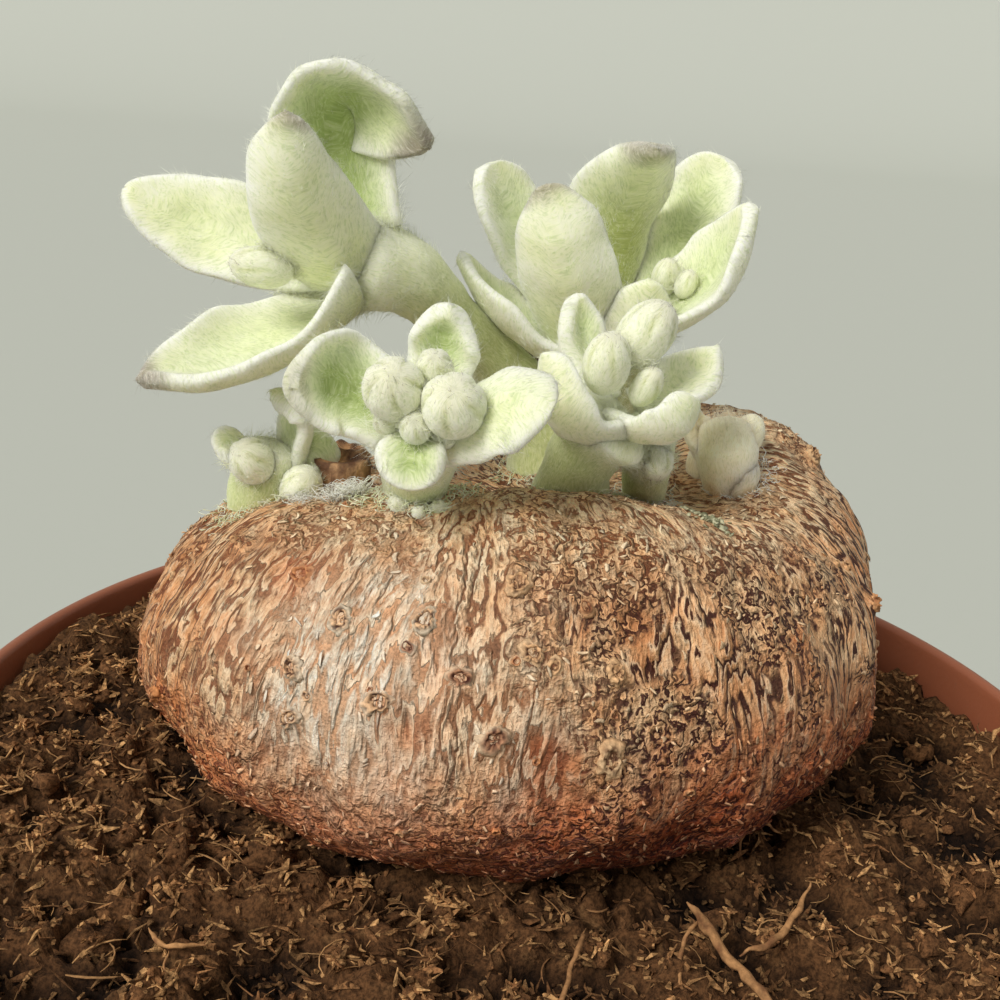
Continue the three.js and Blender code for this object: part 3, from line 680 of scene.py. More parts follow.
def soil_top(x, y):
    """The lumpy, crumbly surface of the soil, and how open each point of it lies, which is the
    share of painted light it gets; the hollows get painted shade.
    """
    p = np.stack([x, y, np.zeros_like(x)], 1)
    bent = p + 1.3 * wobble(p / 2.2, 50)
    relief = (1.7 * fractal(bent / 6.0, 2, 60) + 2.1 * (0.5 - seed_distance(bent / 2.6, 64))
              + 1.0 * (0.35 - np.abs(fractal(bent / 1.5, 2, 70))) + 0.25 * fractal(p / 0.8, 2, 80))
    return soil_height(x, y) - 0.5 + relief, smoothstep(relief, -1.5, 1.1)


SOIL_DARK, SOIL_MID, SOIL_TAN = srgb(42, 26, 15), srgb(128, 88, 55), srgb(200, 154, 102)


def soil_bed(material):
    """The soil as one closed body down to the pot's floor, darkened as painted shade between the
    loose bits that lie on it.
    """
    radii = np.concatenate([np.linspace(4, 14, 3), np.arange(15.5, SOIL_EDGE, 0.42)])
    x, y, _ = np.concatenate([ring(r, 0, SOIL_SIDES) for r in radii]).T
    z, painted_light_share = soil_top(x, y)
    near_wall = smoothstep(np.hypot(x, y), SOIL_EDGE - 2.5, SOIL_EDGE)
    z = np.where(near_wall > 0, np.minimum(z, POT_HEIGHT - 1.0 + 3 * (1 - near_wall)), z)
    top = np.stack([x, y, z], 1)
    side = ((SOIL_EDGE - 1.6, 71), (FOOT_RADIUS - 2.6, FLOOR_TOP + 2.4),
            (FOOT_RADIUS - 5.6, FLOOR_TOP + 0.4))
    under = np.concatenate([ring(r, height, SOIL_SIDES) for r, height in side]
                           + [[[0, 0, SOIL_LEVEL - 2], [0, 0, FLOOR_TOP + 0.4]]])
    faces = [f[:, ::-1] for f in tube_faces(len(radii) + len(side), SOIL_SIDES)]
    # painted shade: the bed is darkened overall and most in its hollows, as the shadow between
    # crumbs and shreds; tan shows only on open places
    tan = smoothstep(fractal(top / 0.9, 3, 95), 0.2, 1.0) * painted_light_share
    colour = mix(mix(SOIL_DARK * 0.4, SOIL_MID * 0.5, painted_light_share), SOIL_TAN, 0.15 * tan)
    colour = np.concatenate([colour, np.tile(SOIL_DARK, (len(under), 1))])
    points = np.concatenate([top, under])
    tinted_piece("soil_bed", points, faces, colour, material, "soil_mix", "soil")


def on_soil(rng, count, margin=0.8):
    """Random places on the ring of soil that shows, clear of the caudex."""
    places = np.zeros((0, 2))
    while len(places) < count:
        r = np.sqrt(rng.uniform(SOIL_CLEAR ** 2, (SOIL_EDGE - margin) ** 2, 4 * count))
        a = rng.uniform(0, 2 * np.pi, 4 * count)
        x, y = r * np.cos(a), r * np.sin(a)
        places = np.concatenate([places, np.stack([x, y], 1)[caudex_reach(x, y) > 0.74]])
    return places[:count].T


def caudex_reach(x, y):
    """How far out a place is, with 1 at the caudex's widest outline."""
    along, across = swung(x - CAUDEX_AT[0], y - CAUDEX_AT[1], math.radians(CAUDEX_TURN))
    return np.hypot(along / CAUDEX_HALF_WIDTH, across / CAUDEX_HALF_DEPTH)


def round_solid(level):
    """Points and triangles of a unit icosphere."""
    shape = bmesh.new()
    bmesh.ops.create_icosphere(shape, subdivisions=level, radius=1)
    points = np.array([v.co[:] for v in shape.verts])
    triangles = np.array([[v.index for v in f.verts] for f in shape.faces])
    shape.free()
    return points, triangles


def turned(points, angles):
    """Each set of points turned about y, x and z by its own three angles, given from z to y."""
    turns = np.tile(np.eye(3), (3, len(angles), 1, 1))
    for turn, angle, (i, j) in zip(turns, angles.T, ((0, 1), (1, 2), (2, 0))):
        turn[:, i, i] = turn[:, j, j] = np.cos(angle)
        turn[:, i, j], turn[:, j, i] = -np.sin(angle), np.sin(angle)
    return np.einsum("nij,npj->npi", np.einsum("nij,njk,nkl->nil", *turns), points)


def clods():
    """The middles and sizes of the clods."""
    rng = np.random.default_rng(7)
    x, y = on_soil(rng, CLOD_COUNT, 3.4)
    size = 0.6 + 1.3 * rng.random(CLOD_COUNT) ** 1.6
    return np.stack([x, y, soil_top(x, y)[0] + 0.1 * size], 1), size


def soil_crumbs(material):
    """Small, rough, fibrous clods."""
    rng = np.random.default_rng(8)
    shape, faces = round_solid(2)
    middles, size = clods()
    stretch = np.stack([rng.uniform(0.8, 1.5, CLOD_COUNT), rng.uniform(0.6, 1.1, CLOD_COUNT),
                        rng.uniform(0.4, 0.8, CLOD_COUNT)], 1)
    points = shape * (size[:, None] * stretch)[:, None, :]
    places = (points + 31 * np.arange(CLOD_COUNT)[:, None, None]).reshape(-1, 3)
    rough = (noise(places * 1.7, 11) + 0.8 * noise(places * 4.1, 13)).reshape(CLOD_COUNT, -1, 1)
    points = points * (1 + 0.6 * rough)
    points = turned(points, rng.uniform(-1, 1, (CLOD_COUNT, 3)) * (math.pi, 0.7, 0.7))
    points += middles[:, None, :]
    colour = mix(SOIL_DARK, SOIL_MID, 0.3 + 0.5 * rng.random(CLOD_COUNT))[:, None]
    # painted light and shade: lighter where the clod bulges out, darker in its dents
    colour = colour * (1 + 0.35 * np.clip(rough, -1, 1))
    tinted_piece("soil_crumbs", points.reshape(-1, 3), [repeated(faces, CLOD_COUNT, len(shape))],
                 colour.reshape(-1, 3), material, "soil_mix")


def soil_shreds(name, count, profile, long, wide, thick, salt, material):
    """Torn bits of peat and coir: short curved splinters, each a closed bar of four sides.

    Some lie on the soil and the others stick to the clods. Those on the clods are painted lighter
    and those in the soil's hollows darker: painted light and shade.
    """
    rng = np.random.default_rng(salt)
    column = (count, 1)
    x, y = on_soil(rng, count)
    z, painted_light_share = soil_top(x, y)
    middles, sizes = clods()
    clod = rng.integers(CLOD_COUNT, size=count)
    away = unit(rng.normal(size=(count, 3)) + (0, 0, 0.7))
    spot = middles[clod] + away * (0.85 * sizes[clod])[:, None]
    stuck = (rng.random(count) < 0.42) & (spot[:, 2] > z - 1)
    at = np.where(stuck[:, None], spot, np.stack([x, y, z], 1))
    half_long = rng.uniform(*long, column) * np.where(stuck, 0.8, 1)[:, None]
    half_wide, half_thick = rng.uniform(*wide, column), rng.uniform(*thick, column)
    heading, pitch = rng.uniform(0, 2 * np.pi, column), rng.normal(0, 0.38, column)
    roll, twist = rng.normal(0, 0.7, column), rng.normal(0, 0.5, column)
    sway, curl = rng.normal(0, 0.28, column), rng.normal(0, 0.28, column)
    along = np.concatenate([np.cos(heading) * np.cos(pitch), np.sin(heading) * np.cos(pitch),
                            np.sin(pitch)], 1)
    level = unit(np.cross((0, 0, 1), along))
    steep = np.cross(along, level)
    at[:, 2:] = at[:, 2:] + 0.35 * half_thick + rng.uniform(-0.1, 0.35, column)
    corners = []
    for t, girth in profile:
        across, up = swung(level, steep, roll + twist * t)
        core = (at + along * (half_long * t) + level * (sway * half_long * t * t)
                + steep * (curl * half_long * (t * t - 0.4)))
        for u, v in ((-1, -0.6), (1, -0.8), (0.8, 0.9), (-0.9, 0.7)):
            wide_here, thick_here = girth * rng.uniform(0.6, 1.35, (2, *column))
            corners.append(core + across * (u * wide_here * half_wide)
                           + up * (v * thick_here * half_thick))
    size = len(corners)
    quads = np.concatenate([ring_faces(len(profile), 4), [(3, 2, 1, 0), range(size - 4, size)]])
    # painted light and shade: bits on the clods get full light, bits in the soil's hollows are
    # darkened
    light = 0.25 + 0.75 * np.where(stuck, 1.0, painted_light_share)
    colour = mix(SOIL_DARK, SOIL_MID, light * rng.uniform(0.2, 1.3, count).clip(0, 1))
    colour = mix(colour, SOIL_TAN, light * rng.random(count) ** 2.6)
    # painted light: bits stuck on the clods brightened as lit tops
    colour = colour * np.where(stuck, 1.3, 1.0)[:, None]
    tinted_piece(name, np.stack(corners, 1).reshape(-1, 3), [repeated(quads, count, size)],
                 np.repeat(colour, size, 0), material, "soil_mix", smooth=False)


def tube(path, radii, sides):
    """A closed tube along points, of changing radius."""
    path = np.asarray(path, float)
    along = unit(np.gradient(path, axis=0))
    a = np.empty_like(path)
    side = np.cross(along[0], (1, 0, 0) if abs(along[0, 2]) > 0.7 else (0, 0, 1))
    for k, way in enumerate(along):
        side = side - way * (side @ way)
        side /= np.linalg.norm(side)
        a[k] = side
    b = np.cross(along, a)
    c, s = (v[:, None] for v in circle(sides))
    rings = path[:, None] + np.asarray(radii)[:, None, None] * (a[:, None] * c + b[:, None] * s)
    points = np.concatenate([rings.reshape(-1, 3), path[:1], path[-1:]])
    return (points, *tube_faces(len(path), sides))


def smooth_line(points, steps):
    """A smooth line through points, at even steps of its own measure."""
    p = np.asarray(points, float)
    p = np.concatenate([[2 * p[0] - p[1]], p, [2 * p[-1] - p[-2]]])
    place = np.linspace(0, len(p) - 3, steps)
    k = np.minimum(place.astype(int), len(p) - 4)
    t = (place - k)[:, None]
    a, b, c, d = p[k], p[k + 1], p[k + 2], p[k + 3]
    return 0.5 * (2 * b + (c - a) * t + (2 * a - 5 * b + 4 * c - d) * t ** 2
                  + (3 * b - a - 3 * c + d) * t ** 3)


# Twigs and roots that show on the soil: points, thickness, lightness
TWIGS = (
    (((13.4, -23.2, 81.4), (14.4, -25, 81.0), (15.9, -27.5, 80.3), (18.4, -31.5, 79.6),
      (19.8, -34, 78.9)), 0.42, 0.6),
    (((17.0, -27.3, 79.9), (19, -26.6, 80.3), (20.9, -25, 80.6), (22.4, -22.9, 81.4),
      (23.6, -20.5, 82.2)), 0.28, 0.7),
    (((14.2, -24.4, 81.0), (13.2, -26, 80.4), (12.5, -28, 79.9), (12.2, -31, 79.2)), 0.2, 0.7),
    (((5.4, -25.5, 80.0), (4.6, -28, 80.1), (3.6, -32, 79.4), (3.0, -35, 79.0)), 0.2, 0.5),
    (((-27.7, -30, 80.3), (-26.4, -31.6, 80.6), (-24.6, -31.9, 80.5), (-23, -30.8, 80.0)),
     0.2, 0.85),
    (((-25.6, -31.9, 80.2), (-25.3, -33.6, 79.8), (-25.0, -36, 79.4)), 0.12, 0.8),
    (((19.0, -14.6, 79.6), (19.4, -14.0, 82.0), (20.9, -13.8, 82.9), (22.9, -12.8, 81.2)),
     0.16, 0.5),
    (((28, 30, 78.6), (33, 28, 79.2), (37, 23, 78.8)), 0.3, 0.5),
    (((-30, 33, 80), (-27, 38, 80.6), (-20, 41, 80.2)), 0.28, 0.6),
    (((4, 44, 79.2), (-4, 46, 79.8), (-11, 44, 79.4)), 0.25, 0.6),
)


def soil_fibres(material):
    """Fine curved fibres and a few twigs and roots lying on the soil."""
    rng = np.random.default_rng(21)
    parts, colours = [], []
    x, y = on_soil(rng, FIBRE_COUNT)
    steps = np.linspace(-0.5, 0.5, 6)
    for place in np.stack([x, y, soil_top(x, y)[0]], 1):
        length = rng.uniform(1.2, 5.0)
        turn = rng.uniform(0, 2 * np.pi) + rng.normal(0, 0.9) * steps * 2
        flat = np.stack([np.cos(turn), np.sin(turn)], 1) * (length / 5)
        line = np.zeros((6, 3))
        line[:, :2] = np.cumsum(flat, 0) - flat.sum(0) / 2
        slope, arch = 0.30 * length * rng.normal(0, 0.25), 0.12 * length
        line[:, 2] = slope * steps + arch * (0.25 - steps ** 2)
        line += place + (0, 0, rng.uniform(0.0, 0.5))
        if (np.hypot(line[:, 0], line[:, 1]) >= SOIL_EDGE - 0.4).any():
            continue
        parts.append(tube(line, rng.uniform(0.035, 0.11) * np.array([0.5, 1, 1, 0.9, 0.8, 0.3]), 3))
        shade = mix(SOIL_MID, SOIL_TAN * 1.1, rng.random() ** 1.3) * rng.uniform(0.6, 1.15)
        colours.append(np.tile(shade, (len(parts[-1][0]), 1)))
    for line, width, light in TWIGS:
        path = smooth_line(line, TWIG_STEPS)
        path += 0.22 * wobble(path, 33)
        knots = 1 + 0.35 * noise(path / 0.6, 37)
        step = np.arange(TWIG_STEPS)
        ends = np.clip(np.minimum(step, step[::-1]) / 7 + 0.2, 0, 1)
        parts.append(tube(path, width * knots * ends, 8))
        stained = 0.7 * smoothstep(noise(parts[-1][0] / 0.7, 39), 0.1, 0.6)
        shade = mix(srgb(104, 70, 44), srgb(196, 146, 96), light)
        colours.append(mix(shade, srgb(96, 56, 36), stained))
    joined_piece("soil_fibres", parts, colours, material, "soil_mix")


# Caudex

def tuber_point(colatitude, longitude):
    """The caudex's smooth surface, about its own middle."""
    s, c = np.sin(colatitude), np.cos(colatitude)
    cx, sy = np.cos(longitude), np.sin(longitude)
    along = CAUDEX_HALF_WIDTH * np.sign(cx) * np.abs(cx) ** 0.96 * s ** np.where(cx > 0, 0.76, 0.88)
    across = CAUDEX_HALF_DEPTH * sy * s ** 0.88
    x, y = swung(along, across, -math.radians(CAUDEX_TURN))
    z = np.where(c > 0, CAUDEX_RISE, CAUDEX_DROP) * np.sign(c) * np.abs(c) ** 0.95
    rise = smoothstep(c, -0.2, 0.3)
    for height, mx, my, sx, sy2 in CROWN_FORMS:
        z = z + rise * height * np.exp(-0.5 * (((x - mx) / sx) ** 2 + ((y - my) / sy2) ** 2))
    ridges = (np.sin(13 * longitude + 2.2 * np.sin(3 * colatitude))
              + 0.7 * np.sin(21 * longitude - 5 * colatitude)
              + 0.6 * np.sin(9 * colatitude + 4 * longitude))
    grown = 1 + BARK_RELIEF * s * ridges / 36
    return np.stack([x, y, z], -1) * grown[..., None]


def caudex_spot(latitude, longitude):
    """A place on the caudex from degrees, in the row frame."""
    at = tuber_point(np.array([math.radians(90 - latitude)]), np.array([math.radians(longitude)]))
    return at[0] + CAUDEX_AT


# Tints of the scars: rim and pit
TINTS = {
    "tan": (srgb(246, 190, 134), srgb(66, 30, 16)),
    "red": (srgb(190, 120, 72), srgb(70, 28, 14)),
    "pale": (srgb(250, 208, 158), srgb(90, 52, 30)),
    "orange": (srgb(232, 156, 96), srgb(120, 62, 36)),
}

# Patches on the bark: latitude, longitude, reach, share, plate and groove colours. The first two
# are a painted sheen, a pale painted reflection of the key light on the left front. The others are
# tints of the bark.
TINT_AND_SHEEN_PATCHES = (
    # painted sheen: this row and the next paint a pale reflection
    (21, -130, 9.0, 1.0, srgb(255, 252, 240), srgb(240, 204, 170)),
    (13, -108, 4.5, 0.9, srgb(255, 240, 216), srgb(176, 134, 100)),
    (4, 62, 8.0, 0.7, srgb(250, 238, 220), srgb(176, 142, 112)),
    (7, -102, 2.6, 0.7, srgb(196, 116, 60), srgb(140, 70, 32)),
    (36, -147, 1.8, 0.9, srgb(236, 178, 140), srgb(206, 134, 98)),
    (12, -122, 2.2, 0.6, srgb(222, 156, 106), srgb(176, 104, 64)),
    (-6, 118, 3.5, 0.6, srgb(190, 112, 66), srgb(150, 80, 42)),
)

# Middles of the places where the bark is torn into curled rims
TORN = ((50, -113), (46, -92), (40, -78), (10, -112), (4, -92), (48, 70), (36, 110))


def bark_grid():
    """The caudex's skin: points, outward and downward ways, flow coordinates along its grain."""
    degrees = np.concatenate([np.linspace(1.5, 24, 15), np.arange(25, 128, 0.85),
                              np.linspace(131, 177, 7)])
    longitude = np.linspace(-np.pi, np.pi, CAUDEX_SIDES, endpoint=False)
    colatitude, longitude = np.meshgrid(np.radians(degrees), longitude, indexing="ij")
    grid = tuber_point(colatitude, longitude)
    down = np.gradient(grid, axis=0)
    around = np.roll(grid, -1, 1) - np.roll(grid, 1, 1)
    steps = np.linalg.norm(np.diff(grid, axis=0), axis=-1)
    travel = np.concatenate([np.zeros((1, CAUDEX_SIDES)), np.cumsum(steps, 0)])
    radius = 22 + 0.35 * np.hypot(grid[..., 0], grid[..., 1])
    flow = layers(radius * np.cos(longitude), radius * np.sin(longitude), travel / SCALE_STRETCH)
    return [a.reshape(-1, 3) for a in (grid, unit(np.cross(down, around)), unit(down), flow)]


def caudex(material, flake_material):
    """The caudex's bark with its relief and colours, its scars and its flakes."""
    points, out, down, flow = bark_grid()
    here = points + CAUDEX_AT
    flow = flow + 0.35 * wobble(flow / 2.2, 5) + 1.3 * wobble(flow / 9, 8)
    height = here[:, 2]

    def nearness(latitude, longitude, reach):
        away = np.linalg.norm(here - caudex_spot(latitude, longitude), axis=1)
        return np.exp(-(away / reach) ** 2)

    patchy = fractal(here / 5, 3, 46)
    # low and foot: the bark darker and redder towards the bottom, partly its own colour and partly
    # painted shade
    low = smoothstep(98 + 5 * patchy - height, 0, 12)
    foot = smoothstep(91 + 3 * patchy - height, 0, 8)
    # right: the bark darker and redder towards the right, partly its own colour and partly painted
    # shade on the side away from the key light
    right = smoothstep(here[:, 0], -16, 6)
    inside = 0.92 - caudex_reach(here[:, 0], here[:, 1])
    crown = smoothstep(height, 101, 108) * smoothstep(inside, 0, 0.25)
    torn = np.max([0.3 * crown, *(0.75 * nearness(*spot, 8) for spot in TORN)], 0)
    wild = np.maximum(0.95 * low, smoothstep(fractal(here / 6, 2, 48) + torn, 0.25, 0.6))
    relief = 0.26 * fractal(here / 6, 3, 40) + 0.16 * fractal(flow / 1.2, 2, 44)
    relief += 0.22 * wild * fractal(here / 1.6, 2, 47)
    for latitude, longitude, radius, lift, _ in KNOBS:
        away = np.linalg.norm(here - caudex_spot(latitude, longitude), axis=1) / radius
        relief += 0.5 * lift * smoothstep(1.25 - away, 0, 1)
    relief *= smoothstep(height, 72, BARK_FROM)

    cloudy = smoothstep(fractal(here / 4, 2, 49), -0.6, 0.6)
    plates = mix(srgb(255, 220, 176), srgb(240, 190, 142), cloudy)
    # plates and grooves redder and darker low, at the foot and to the right: partly the bark's own
    # colour, partly painted shade
    plates = mix(plates, mix(srgb(250, 172, 106), srgb(232, 122, 58), right), 0.85 * low)
    plates = mix(plates, mix(srgb(230, 142, 84), srgb(158, 76, 36), right), 0.85 * foot)
    plates = mix(plates, srgb(255, 236, 200), 0.9 * crown)
    grooves = mix(srgb(146, 94, 60), srgb(76, 36, 20), right)
    grooves = mix(grooves, mix(srgb(126, 60, 28), srgb(82, 24, 8), right), low)
    grooves = mix(grooves, srgb(158, 110, 74), 0.9 * crown)
    # the first two patches paint a sheen, a painted reflection; the rest tint the bark
    for latitude, longitude, reach, share, patch_plate, patch_groove in TINT_AND_SHEEN_PATCHES:
        near = nearness(latitude, longitude, reach)
        near = np.clip(near * (1.3 + 0.7 * patchy), 0, 1) * share
        plates, grooves = mix(plates, patch_plate, near), mix(grooves, patch_groove, near)
        wild = wild * (1 - 0.9 * near)

    skin = here + out * relief[:, None]
    ends = np.array([here[:CAUDEX_SIDES].mean(0), here[-CAUDEX_SIDES:].mean(0)])
    faces = [f[:, ::-1] for f in tube_faces(len(skin) // CAUDEX_SIDES, CAUDEX_SIDES)]
    bark = make_mesh("caudex_bark", np.concatenate([skin, ends]), faces)
    for name, values in (("wild", wild), ("flow", flow), ("plate_colour", plates),
                         ("groove_colour", grooves)):
        give(bark, name, np.concatenate([values, values[:1], values[-1:]]))
    dress(bark, material, "caudex_bark", "caudex")
    scars(skin, out, down, plates, flake_material)
    caudex_flakes(skin, out, down, plates, wild, flake_material)
    return skin, out


def scars(skin, out, down, plates, material):
    """Little ragged rings with dark pits where old roots and shoots broke off."""
    rng = np.random.default_rng(17)
    marks = [(la, lo, 0.46 * r, 0.28 * min(h, 1.0), TINTS[t]) for la, lo, r, h, t in KNOBS]
    for _ in range(SMALL_SCARS):
        kind = ("tan", "red", "tan", "orange", "pale")[rng.integers(5)]
        marks.append((math.degrees(math.asin(rng.uniform(-0.4, 0.8))), rng.uniform(-180, 180),
                      rng.uniform(0.20, 0.42), rng.uniform(0.14, 0.28), TINTS[kind]))
    parts, colours = [], []
    for k, (latitude, longitude, radius, lift, (rim_tint, pit_tint)) in enumerate(marks):
        nearest = np.argmin(((skin - caudex_spot(latitude, longitude)) ** 2).sum(1))
        at, up, a, plate = skin[nearest], out[nearest], down[nearest], plates[nearest]
        sides = 30 if radius > 0.6 else 10
        share, rise = np.repeat(SCAR_PROFILE, sides, 0).T
        turn = np.tile(np.linspace(0, 2 * np.pi, sides, endpoint=False), len(SCAR_PROFILE))
        c, s = np.cos(turn), np.sin(turn)
        flat = layers(share * c, share * s, 9.1 * k)
        lump = noise(flat * 5.5, 63)
        ragged = 1 + 0.15 * np.sin(2 * turn + k) + 0.3 * noise(flat * 2.0, 61) + 0.12 * lump
        r = radius * share * ragged
        h = lift * (rise * (1 + 0.5 * noise(flat * 1.4, 62)) + 0.9 * lump * (rise > -0.5))
        points = at + np.outer(r * c, a) + np.outer(r * s, np.cross(up, a)) + np.outer(h, up)
        parts.append((np.concatenate([points, [at - up * 0.4], [at]]),
                      *tube_faces(len(SCAR_PROFILE), sides)))
        share, lump = np.append(share, (2, 0)), np.append(lump, (0, 0))
        pit = np.interp(share, (0, 0.25, 0.45, 0.62, 0.85, 1.1), (0.6, 1.0, 0.9, 0.45, 0.2, 0.3))
        pit = np.clip(pit - 1.5 * lump, 0, 1)
        rim = mix(plate, rim_tint, 0.85) * (0.72 + 0.3 * lump[:, None])
        colours.append(mix(plate * (0.74, 0.64, 0.54), mix(rim, pit_tint, pit),
                           np.interp(share, (0.8, 1.0, 1.25), (1, 0.7, 0.0))))
    joined_piece("caudex_scars", parts, colours, material, "caudex_bark")


def caudex_flakes(points, out, down, plates, wild, material):
    """Thin curled flakes of old bark that stand a little out of the surface."""
    rng = np.random.default_rng(11)
    column = (FLAKE_COUNT, 1)
    near_pole = np.arange(len(points)) // CAUDEX_SIDES < 13
    weight = np.hypot(points[:, 0] - CAUDEX_AT[0], points[:, 1] - CAUDEX_AT[1]) / 35 * (0.25 + wild)
    weight[(points[:, 2] < BARK_FROM) | near_pole] = 0
    picked = rng.choice(len(points), FLAKE_COUNT, False, weight / weight.sum())
    at, up, along, messy = points[picked], out[picked], down[picked], wild[picked][:, None]
    turn = rng.normal(0, 0.25 + 1.1 * messy, column)
    across = np.cross(up, along)
    along, across = swung(along, across, turn)
    half_long = rng.uniform(0.2, 0.6, column) * (1.3 - 0.4 * messy)
    half_wide = rng.uniform(0.06, 0.2, column)
    peel = rng.uniform(0.03, 0.22, column) * rng.choice([-1, 1], column)
    curl = rng.uniform(-0.08, 0.2, column)
    sway = rng.normal(0, 0.9, column)

    def place(t, s, lift):
        bulge = half_wide * sway * (1 - t * t)
        return (at + along * half_long * t + across * (half_wide * s * (1 - 0.55 * t * t) + bulge)
                + up * (0.03 + lift + peel * t + curl * s * s + 0.12 * np.abs(peel)))

    rows = [place(-1, 0, 0)]
    for t in (-0.5, 0, 0.5):
        rows += [place(t, -1, 0), place(t, 1, 0), place(t, 0, 0.02), place(t, 0, -0.02)]
    rows.append(place(1, 0, 0))
    ends = [(0, 3, 1), (0, 2, 3), (9, 11, 13), (10, 13, 11),
            (0, 1, 4), (0, 4, 2), (9, 13, 12), (12, 13, 10)]
    quads = []
    for k in (1, 5):
        quads += [(k, k + 2, k + 6, k + 4), (k + 2, k + 1, k + 5, k + 6)]
        quads += [(k + 4, k + 7, k + 3, k), (k + 7, k + 5, k + 1, k + 3)]
    light = rng.uniform(0.8, 1.15, column)
    tint = mix(plates[picked], srgb(238, 202, 160), rng.uniform(0, 0.7, FLAKE_COUNT)) * light
    tinted_piece("caudex_flakes", np.stack(rows, 1).reshape(-1, 3),
                 [repeated(f, FLAKE_COUNT, len(rows)) for f in (quads, ends)],
                 np.repeat(tint, len(rows), 0), material, "caudex_bark")


def stumps(material):
    """Hollow-topped stumps of old shoots, their bark rough."""
    parts, colours = [], []
    sides = 64
    inner = np.concatenate([np.repeat([0, 0, 0, 0, 0.3, 1, 1, 1], sides), [0, 1]])
    for foot, top, r0, r1 in STUMPS:
        foot, top = np.array(foot, float), np.array(top, float)
        path = foot + (top - foot) * np.array([0, 0.4, 0.7, 0.9, 1.0, 1.0, 0.93, 0.86])[:, None]
        radii = (r0, (r0 + r1) / 2, r1 * 1.02, r1 * 1.06, r1 * 0.98, r1 * 0.7, r1 * 0.5, r1 * 0.2)
        points = np.concatenate([*(ring(r, p[2], sides, p) for r, p in zip(radii, path)),
                                 foot[None], [top - (0, 0, 1.0)]])
        away = unit((points - (foot + top) / 2) * (1, 1, 0.2))
        points = points + away * (0.5 * fractal(points / 0.9, 3, 55))[:, None]
        parts.append((points, *tube_faces(len(path), sides)))
        grain = smoothstep(fractal(points / 0.8, 2, 57), -0.3, 0.6)
        colours.append(mix(mix(srgb(106, 74, 52), srgb(190, 150, 110), grain),
                           mix(srgb(84, 54, 36), srgb(176, 132, 90), grain), inner))
    joined_piece("caudex_stumps", parts, colours, material, "caudex_bark")


# Shoots

# Curly wool on the bark: middle x and y, inner and outer reach, count, length, lift, width and
# two tints
WHITE_WOOL = (srgb(240, 238, 220), srgb(255, 255, 250))
GREEN_WOOL = (srgb(230, 238, 186), srgb(255, 255, 236))
TUFTS = (
    (-11, -8.5, 2.8, 5.6, 280, 1.3, 1.3, 0.045, *GREEN_WOOL),
    (-25, -2.5, 2.8, 4.8, 220, 1.3, 1.3, 0.045, *GREEN_WOOL),
    (-16.6, -8.8, 0.0, 1.6, 230, 1.7, 2.0, 0.032, *WHITE_WOOL),
    (-20.5, -7.0, 0.0, 1.4, 90, 1.3, 1.4, 0.032, *WHITE_WOOL),
    (2.3, -2.6, 2.8, 4.8, 200, 1.2, 1.4, 0.045, *GREEN_WOOL),
    (9.1, 1.6, 1.7, 3.2, 110, 1.2, 1.4, 0.04, *WHITE_WOOL),
    (0.3, 13, 3.6, 5.2, 110, 1.3, 1.2, 0.05, *GREEN_WOOL),
    (5.4, 16.5, 3.6, 5.4, 90, 1.3, 1.2, 0.05, *GREEN_WOOL),
    (18, 4.6, 1.7, 3.4, 130, 1.4, 1.2, 0.04, *WHITE_WOOL),
)
CREASE_HAIRS = {"tall_shoot": 4000, "back_rosette": 3200, "front_rosette": 2400,
                "side_rosette": 2400, "small_shoot": 1400}
CREASE_REACH = 0.95
FOOT_WOOL_FROM = 98
LICHEN = ((14.2, -8.0, 107.8), (13.1, -5.9, 107.6))
LICHEN_FLAKES = 45
SLOTS = {"dry_shoot": "dry_wool", "dry_stalk": "dry_stalk_bark"}

LEAF_STEPS = 46
LEAF_SIDES = 34
LEAF_THICKNESS = 1.56
STEM_SIDES = 36

# Hairs to a square millimetre, the height above which they grow, the corners of a hair's foot
WOOL_DENSITY = 9
WOOL_FROM = 103
THIRDS = (0, 2.094, 4.189)

# Facts kept for each point of a shoot's skin: its kind, its share of the way along, how far
# inside or on the rim it lies, three tints, the way its hairs lie, and its nap coordinates
STEM, LEAF, BUD = 0, 1, 2
KIND, ALONG, INNER, RIM, GREEN, DUSK, BACK = range(7)
GRAIN, NAP, FACTS = slice(7, 10), slice(10, 13), 13


